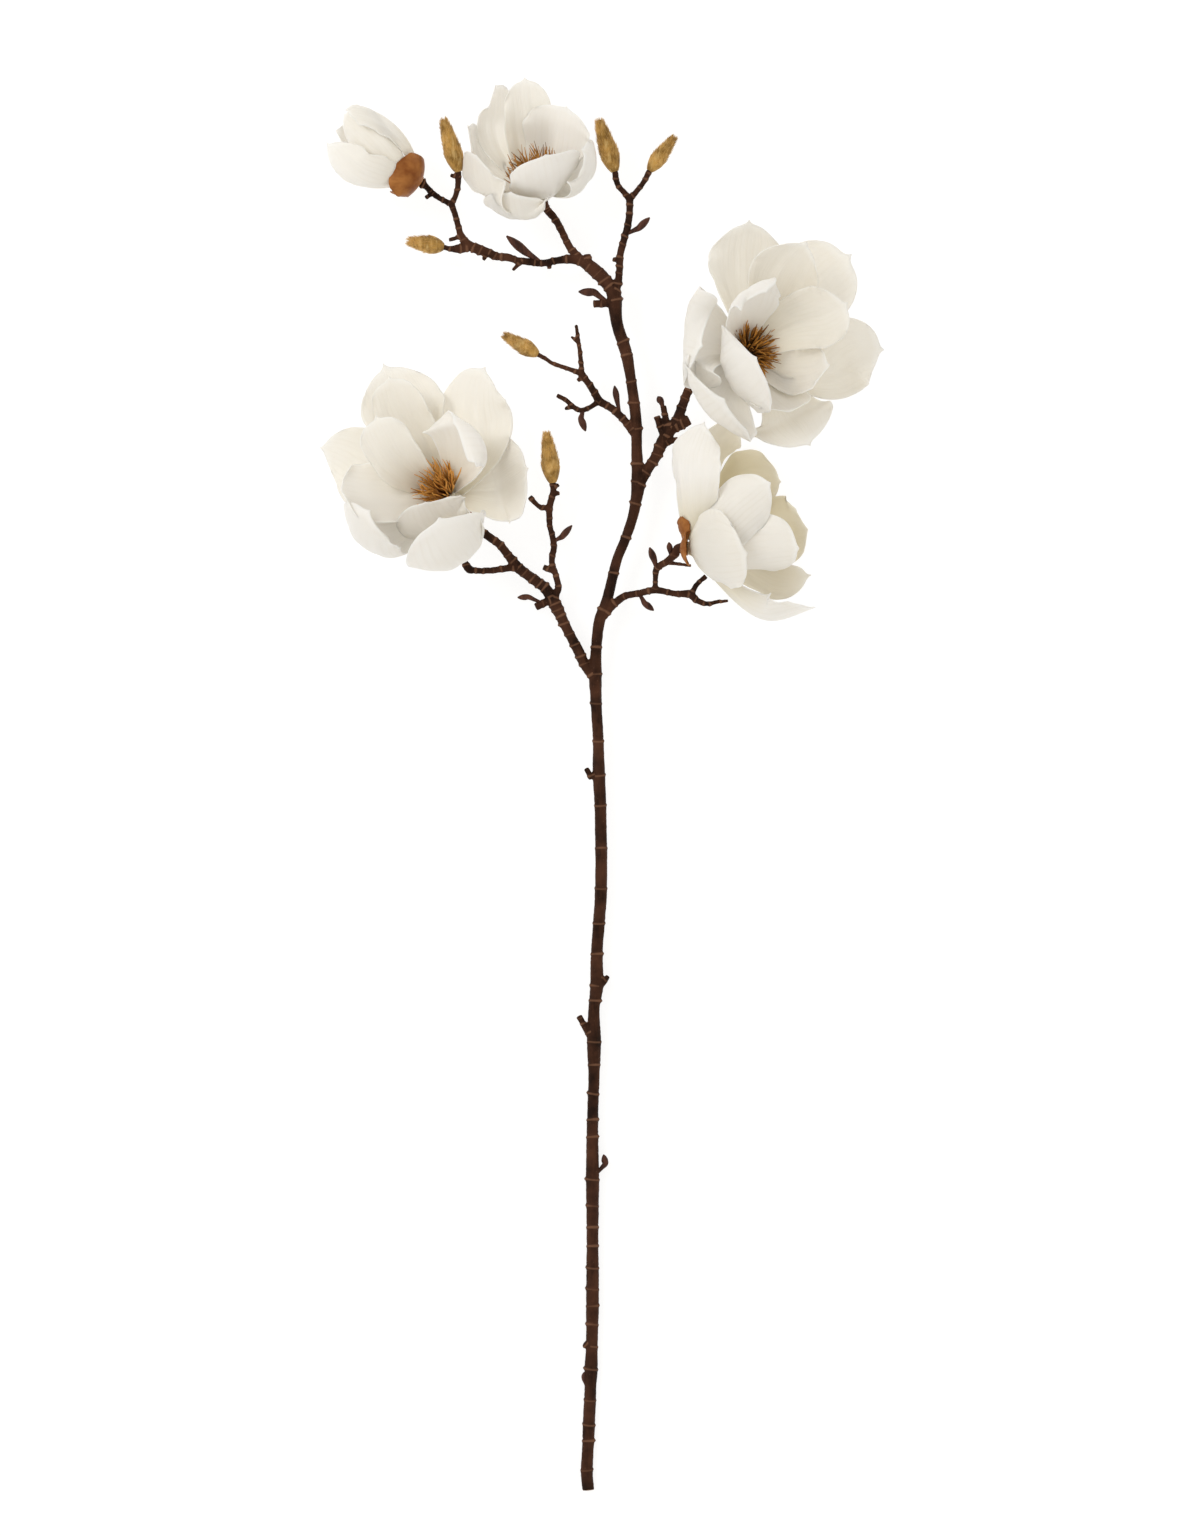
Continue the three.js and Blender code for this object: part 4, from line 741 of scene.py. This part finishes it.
def foot_route(bloom):
    """The bare end of the twig that carries a bloom: it comes up the bloom's own axis."""
    axis = Vector(bloom["axis"]).normalized()
    drop = FOOT_DROP + (SCALE_DROP if bloom["scales"] else 0)
    end = Vector(bloom["heart"]) - axis * drop
    bend = end - axis * FOOT_BEND
    before, last = TWIGS[bloom["twig"]][-2:]
    return [before, last, [*bend, last[3] + FOOT_SWELL], [*end, FOOT_WIDTH]]


def make_wood(bark):
    chance = random.Random(41)
    routes = [("stem", STEM)] + list(TWIGS.items())
    routes += [("stub", stub) for stub in STUBS]
    routes += [("foot", foot_route(bloom)) for bloom in BLOOMS.values()]
    bm = bmesh.new()
    samples = []
    for name, points in routes:
        route = Route(points)
        rings = ring_places(route, chance, name)
        sleeve(bm, route, STEM_AROUND if name == "stem" else TWIG_AROUND)
        samples += [(route, i, rings) for i in range(route.count + 1)]
    fused = remeshed(mesh_of(bm, "wood_rods"), WOOD_VOXEL * MM)
    shape_bark(fused, samples)
    place_piece("branch_wood", fused, bark, "branch")


def remeshed(mesh, voxel):
    """The outer skin of overlapping closed shapes, as one even mesh."""
    holder = add_object("holder", mesh)
    remesh = holder.modifiers.new("fuse", "REMESH")
    remesh.mode = "VOXEL"
    remesh.voxel_size = voxel
    soften = holder.modifiers.new("soften", "SMOOTH")
    soften.factor = 0.5
    soften.iterations = 2
    graph = bpy.context.evaluated_depsgraph_get()
    skin = bpy.data.meshes.new_from_object(holder.evaluated_get(graph))
    bpy.data.objects.remove(holder)
    bpy.data.meshes.remove(mesh)
    return skin


def shape_bark(mesh, samples):
    """Raises the rings, scars and wrinkles of the bark, and marks the rings and the cut end."""
    tree = KDTree(len(samples))
    for index, (route, i, _) in enumerate(samples):
        tree.insert(route.centres[i], index)
    tree.balance()
    cut_end = Vector(STEM[0][:3])
    cut_way = (cut_end - Vector(STEM[1][:3])).normalized()
    scar_marks = []
    cut_marks = []
    for v in mesh.vertices:
        place = v.co / MM
        _, index, _ = tree.find(place)
        route, i, rings = samples[index]
        tangent = route.tangents[i]
        offset = place - route.centres[i]
        distance = route.distances[i] + offset.dot(tangent)
        outward = offset - tangent * offset.dot(tangent)
        side = route.sides[i]
        angle = math.atan2(outward.dot(tangent.cross(side)), outward.dot(side))
        ring = 0.0
        scar = 0.0
        groove = 0.0
        for where, way, size in rings:
            away = distance - where - RING_TILT * math.cos(angle - way)
            if abs(away) > RING_REACH:
                continue
            ring += size * bell(away, RING_WIDTH)
            groove += size * bell(away - GROOVE_PLACE, GROOVE_WIDTH)
            scar += size * bell(away, SCAR_WIDTH) * max(0.0, math.cos(angle - way)) ** 3
        wrinkle = noise.noise(Vector((3.2 * math.cos(angle), 3.2 * math.sin(angle), distance * 0.11)))
        pits = noise.noise(place * 0.55)
        size = min(1.0, route.radii[i] / FULL_BARK)
        lift = (RING_HEIGHT * ring + SCAR_HEIGHT * scar - GROOVE_DEPTH * groove) * size
        lift += WRINKLE * wrinkle + PITS * pits
        if outward.length > 1e-6:
            v.co += outward.normalized() * lift * MM
        v.co.z = max(v.co.z, LOWEST * MM)
        at_end = (place - cut_end).dot(cut_way) > -CUT_DEPTH and place.y < CUT_REGION
        cut_marks.append(1.0 if at_end else 0.0)
        scar_marks.append(min(1.0, ring + 0.5 * scar))
    mesh.attributes.new("scar", "FLOAT", "POINT").data.foreach_set("value", scar_marks)
    mesh.attributes.new("cut", "FLOAT", "POINT").data.foreach_set("value", cut_marks)


def make_leaf_buds(brown):
    bm = bmesh.new()
    for *places, greatest in LEAF_BUDS:
        points = [
            [*Vector(places[passed]).lerp(Vector(places[passed + 1]), share), greatest * width]
            for passed, share, width in LEAF_BUD_SHAPE
        ]
        sleeve(bm, Route(points, 0.4), 14)
    bmesh.ops.recalc_face_normals(bm, faces=bm.faces)
    place_piece("branch_leaf_buds", bm, brown, "branch")


# ------------------------ tepals
class Tepal:
    """The middle surface of one tepal. u runs across it from -1 to 1, v from claw to tip."""

    def __init__(self, axis, shape, chance):
        form = {**PLAIN_TEPAL, **shape}
        self.form = form
        axis = Vector(axis).normalized()
        tip = Vector(form["tip"])
        towards = Vector(form.get("facing", form["tip"]))
        out = (towards - axis * towards.dot(axis)).normalized()
        self.across = axis.cross(out)
        start = out * form["root"] + axis * form["rise"]
        length = (tip - start).length
        leave = self.slope(axis, out, form["flare"]) * length * form["reach"][0]
        arrive = self.slope(axis, out, form["lift"]) * length * form["reach"][1]
        self.spine = (
            start,
            start + leave + self.across * form["sway"] / 2,
            tip - arrive + self.across * form["sway"],
            tip,
        )
        self.phases = [chance.uniform(0, 2 * math.pi) for _ in range(6)]
        self.tip_bend = chance.uniform(-TIP_BEND, TIP_BEND) * form["ruffle"]
        opened = min(max((form["lift"] - CLOSED_LIFT) / (OPEN_LIFT - CLOSED_LIFT), 0), 1)
        self.shade = OPENED_SHADE * opened if form["shade"] is None else form["shade"]

    @staticmethod
    def slope(axis, out, degrees):
        angle = math.radians(degrees)
        return axis * math.cos(angle) + out * math.sin(angle)

    def on_spine(self, t):
        """The place on the midrib at t, and the midrib's direction there."""
        a, b, c, d = self.spine
        s = 1 - t
        place = a * s ** 3 + b * (3 * s * s * t) + c * (3 * s * t * t) + d * t ** 3
        return place, ((b - a) * s * s + (c - b) * (2 * s * t) + (d - c) * t * t).normalized()

    def outline(self, u, v):
        """How far up the spine the place u, v lies, and half the tepal's width there."""
        form = self.form
        widest, blunt = form["widest"], form["blunt"]
        past = max(v - widest, 0) / (1 - widest)
        corner = (1 - TIP_SHARE ** blunt) ** (1 / blunt)
        drop = (1 - (corner * abs(u)) ** blunt) ** (1 / blunt)
        along = min(v, widest) + (1 - widest) * past * drop
        along -= 0.03 * (1 - math.exp(-abs(u) / 0.12)) * past ** 3
        growing = math.sin(math.pi / 2 * min(v / widest, 1)) ** 1.15
        closing = (1 - (TIP_SHARE * past) ** blunt) ** (1 / blunt)
        full = form["claw"] + (1 - form["claw"]) * growing if v < widest else closing
        ragged = 1 + 0.02 * v * math.sin(17 * v + self.phases[0 if u > 0 else 3])
        return along, form["wide"] / 2 * full * ragged

    def ruffles(self, u, v):
        """How far the rim waves in and out, in millimetres."""
        phases = self.phases[:3] if u > 0 else self.phases[3:]
        waves = (height * abs(u) ** late * math.sin(rate * v + phase)
                 for (height, late, rate), phase in zip(RUFFLES, phases))
        return sum(waves) * min(1, 2 * v) * self.form["ruffle"]

    def unevenness(self, u, v, along):
        """What ruffles, pleats, midrib, rolled rim and bent tip add to the cup, in millimetres."""
        form = self.form
        fold = form["curl"] * (max(0, along - 0.75) / 0.25) ** 2
        fold += self.tip_bend * bell(u, 0.3) * (max(0, v - 0.88) / 0.12) ** 2
        rim = max(0, abs(u) - 0.8) / 0.2
        rolled = form["edge_roll"] * rim ** 2 * math.sin(math.pi * min(v, 0.98)) * 2
        midrib = 0.5 * bell(u, 0.05) * (1 - v)
        pleat = math.sin(9 * u + 1.5 * v + self.phases[1]) + 0.6 * math.sin(17 * u - 2 * v + self.phases[4])
        pleat *= PLEAT * math.sin(math.pi * min(v, 1)) * (1 - u ** 4) * form["ruffle"]
        return self.ruffles(u, v) - fold - rolled - midrib + pleat

    def point(self, u, v):
        form = self.form
        along, half = self.outline(u, v)
        place, tangent = self.on_spine(along)
        side = (self.across - tangent * self.across.dot(tangent)).normalized()
        inward = tangent.cross(side)
        turn = math.radians(form["roll"])
        sideways = side * math.cos(turn) + inward * math.sin(turn)
        inwards = inward * math.cos(turn) - side * math.sin(turn)
        cup = math.radians(form["cup"]) * (0.6 + 0.4 * math.sin(math.pi * min(v / 0.9, 1)))
        height = half * (1 - math.cos(cup * u)) / cup + self.unevenness(u, v, along)
        width = half * math.sin(cup * u) / cup
        return place + sideways * width + inwards * height


def new_blade_mesh():
    """An empty mesh for tepals or scales, with room for the marks that their finishes read."""
    bm = bmesh.new()
    for mark in BLADE_MARKS:
        bm.verts.layers.float.new(mark)
    return bm


def add_blade(bm, heart, tepal, across, along):
    """One tepal or scale as a sheet, with its own u, v and shade kept on the mesh."""
    marks = [bm.verts.layers.float[mark] for mark in BLADE_MARKS]
    for v in bmesh.ops.create_grid(bm, x_segments=across, y_segments=along, size=1)["verts"]:
        u, w = v.co.x, (v.co.y + 1) / 2
        for mark, value in zip(marks, (u, w, tepal.shade * (1 - SHADE_FADE * w ** 3))):
            v[mark] = value
        place = heart + tepal.point(u, w)
        v.co = Vector((place.x, place.y, max(place.z, LOWEST + TEPAL_SKIN / 2))) * MM


def add_button(bm, heart, axis, low, high, low_radius, high_radius):
    """The round receptacle or collar on a bloom's axis."""
    made = bmesh.ops.create_cone(
        bm, cap_ends=True, segments=28, radius1=low_radius, radius2=high_radius, depth=high - low)["verts"]
    edges = list({e for v in made for e in v.link_edges if len(e.link_faces) == 2})
    middle = Matrix.Translation(heart + axis * (low + high) / 2)
    turn = axis.to_track_quat("Z", "Y").to_matrix().to_4x4()
    bmesh.ops.transform(bm, verts=made, matrix=Matrix.Scale(MM, 4) @ middle @ turn)
    rims = [e for e in edges if e.calc_face_angle(0) > 0.9]
    bmesh.ops.bevel(bm, geom=rims, offset=BUTTON_ROUND * MM, segments=3, profile=0.5, affect="EDGES",
                    material=-1)


def make_blades(name, bloom, kind, finish, chance):
    """All the tepals or all the scales of a bloom, and the button that they grow from."""
    mesh_size, depth, changes, button_name, button = BLADE_KINDS[kind]
    node = f"{name}_{kind}s"
    heart = Vector(bloom["heart"])
    axis = Vector(bloom["axis"]).normalized()
    bm = new_blade_mesh()
    for shape in bloom[f"{kind}s"]:
        blade = Tepal(bloom["axis"], {**changes, **shape}, chance)
        add_blade(bm, heart - axis * depth, blade, *mesh_size)
    skin = place_piece(node, bm, finish, node).modifiers.new("skin", "SOLIDIFY")
    skin.thickness = TEPAL_SKIN * MM
    skin.offset = 0
    skin.use_even_offset = False
    bm = new_blade_mesh()
    add_button(bm, heart, axis, *button)
    place_piece(f"{name}_{button_name}", bm, finish, node)


# ------------------------ stamens
def make_stamens(name, bloom, look, chance):
    """Curved straps in rings round a short cone, the inner ones standing and the outer ones spread."""
    bm = bmesh.new()
    tipward = bm.verts.layers.float.new("tipward")
    tone = bm.verts.layers.float.new("tone")
    axis = Vector(bloom["axis"]).normalized()
    foot = Vector(bloom["heart"]) + axis * STAMEN_FOOT
    lean = Vector(look["lean"]).normalized()
    first = square_to(lean)
    second = lean.cross(first)
    for n in range(look["count"]):
        ring = math.sqrt((n + 0.5) / look["count"])
        around = n * GOLDEN_TURN + chance.uniform(-0.25, 0.25)
        outward = first * math.cos(around) + second * math.sin(around)
        tilt = math.radians(look["spread"]) * ring + chance.uniform(-0.08, 0.08)
        length = look["length"] * chance.uniform(*STAMEN_LENGTHS) * (0.72 + 0.28 * (1 - ring) ** 0.5)
        start = foot + outward * look["ring"] * ring
        way = lean * math.cos(tilt) + outward * math.sin(tilt)
        bow = (lean * chance.uniform(0.02, 0.22) + outward * chance.uniform(-0.1, 0.12)) * length
        twist = first.cross(way) * chance.uniform(-0.12, 0.12) * length
        thick = chance.uniform(*STAMEN_WIDTHS)
        points = [
            [*(start + way * length * share + bow * bowed + twist * twisted), thick * width]
            for share, width, bowed, twisted in STAMEN_SHAPE
        ]
        shade = chance.random()
        for v in sleeve(bm, Route(points, length / 7), 5):
            v[tipward] = min(1, (v.co / MM - start).length / length)
            v[tone] = shade
    cone = [[*(foot + lean * look["length"] * share), width] for share, width in CONE_SHAPE]
    for v in sleeve(bm, Route(cone, 1.2), 12):
        v[tone] = 1.0
    bmesh.ops.recalc_face_normals(bm, faces=bm.faces)
    brown = make_stamen_brown(f"{name}_stamen_brown", look["dark"])
    place_piece(f"{name}_stamens", bm, brown, f"{name}_stamens")


# ------------------------ furry buds
def furry_route(base, tip, greatest):
    base, tip = Vector(base), Vector(tip)
    base -= (tip - base).normalized() * BUD_SINK
    way = tip - base
    points = [[*(base + way * share), greatest * width * COAT_SHARE] for share, width in FURRY_SHAPE]
    return Route(points, 0.7)


def make_furry_bud(name, bud, coat, hair, chance):
    bm = bmesh.new()
    route = furry_route(*bud)
    sleeve(bm, route, 36)
    bmesh.ops.recalc_face_normals(bm, faces=bm.faces)
    place_piece(f"{name}_coat", bm, coat, name)
    bm = bmesh.new()
    thick, thin = HAIR_WIDTHS
    for _ in range(HAIRS_PER_BUD):
        t = chance.uniform(0.03, 0.98)
        angle = chance.uniform(-math.pi, math.pi)
        i = round(t * route.count)
        root = route.ring_point(t, angle, -0.1)
        outward = (root - route.centres[i]).normalized()
        way = (route.tangents[i] + outward * chance.uniform(*HAIR_LEANS)).normalized()
        length = chance.uniform(*HAIR_LENGTHS)
        made = bmesh.ops.create_cone(bm, segments=3, radius1=thick, radius2=thin, depth=length)["verts"]
        turn = way.to_track_quat("Z", "Y").to_matrix().to_4x4()
        place = Matrix.Translation((root + way * length / 2) * MM) @ turn @ Matrix.Scale(MM, 4)
        bmesh.ops.transform(bm, matrix=place, verts=made)
    place_piece(f"{name}_hairs", bm, hair, name, smooth=False)


# ------------------------ floor, light and camera
FLOOR_REACH = 6  # metres from the middle of the floor to its edge
# Each lamp's name, place and size in metres, and its power in watts.
LAMPS = [["window_left", (-1.6, 1.3, 2.2), 1.1, 20], ["fill_front", (1.2, -1.8, 2.2), 2.2, 4]]
LAMP_AIM = Vector((0, 0.1, 0.03))
DAYLIGHT = (1, 0.968, 0.91, 1)
DAYLIGHT_STRENGTH = 0.77
FRAME_HEIGHT = 1536  # pixels
PIXEL = 0.7  # millimetres of the branch to one pixel of the frame
EYE_HEIGHT = 4025
EYE = Vector((-1.75, 12.6, EYE_HEIGHT))
MIDDLE_HEIGHT = 25  # the height at which PIXEL holds
SENSOR = 36


def make_floor():
    bm = bmesh.new()
    bmesh.ops.create_grid(bm, x_segments=1, y_segments=1, size=FLOOR_REACH)
    mesh = mesh_of(bm, "floor")
    paper = Finish("floor_paper", base_color=(0.32, 0.32, 0.32, 1), roughness=0.9, specular_ior_level=0.1,
                   emission_color=(1, 1, 1, 1), emission_strength=0.8)
    mesh.materials.append(paper.material)
    floor = add_object("floor", mesh)


def make_light():
    world = bpy.data.worlds.new("studio")
    world.use_nodes = True
    background = world.node_tree.nodes["Background"]
    background.inputs["Color"].default_value = DAYLIGHT
    background.inputs["Strength"].default_value = DAYLIGHT_STRENGTH
    bpy.context.scene.world = world
    for name, place, size, power in LAMPS:
        lamp = bpy.data.lights.new(name, "AREA")
        lamp.shape = "DISK"
        lamp.size = size
        lamp.energy = power
        holder = add_object(name, lamp)
        holder.location = place
        holder.rotation_euler = (LAMP_AIM - Vector(place)).to_track_quat("-Z", "Y").to_euler()
    bpy.context.scene.view_settings.view_transform = "Standard"


def make_camera():
    eye = bpy.data.cameras.new("camera")
    eye.sensor_fit = "VERTICAL"
    eye.sensor_height = SENSOR
    eye.lens = SENSOR * (EYE_HEIGHT - MIDDLE_HEIGHT) / (FRAME_HEIGHT * PIXEL)
    camera = add_object("camera", eye)
    camera.location = EYE * MM
    bpy.context.scene.camera = camera


# ------------------------ the whole branch
make_floor()
make_light()
make_camera()

make_wood(make_bark())
make_leaf_buds(make_leaf_bud_brown())

# The second colour is the painted shade deep in each bloom; the low bloom's is darker, for its shaded
# inside.
tepal_white = make_tepal_white("tepal_white", (240, 233, 214))
deep_shaded_white = make_tepal_white("tepal_deep_white", (214, 200, 158))
scale_copper = make_scale_copper()
for number, (bloom_name, bloom) in enumerate(BLOOMS.items()):
    chance = random.Random(100 + number)
    white = deep_shaded_white if bloom_name == "bloom_low" else tepal_white
    make_blades(bloom_name, bloom, "tepal", white, chance)
    if bloom["stamens"]:
        make_stamens(bloom_name, bloom, bloom["stamens"], chance)
    if bloom["scales"]:
        make_blades(bloom_name, bloom, "scale", scale_copper, chance)

coat_tan = make_fur_tan("coat_tan", (128, 96, 44), (196, 152, 82))
hair_tan = make_fur_tan("hair_tan", (186, 144, 72), (232, 194, 120))
for number, (bud_name, bud) in enumerate(FURRY_BUDS.items()):
    make_furry_bud(bud_name, bud, coat_tan, hair_tan, random.Random(200 + number))
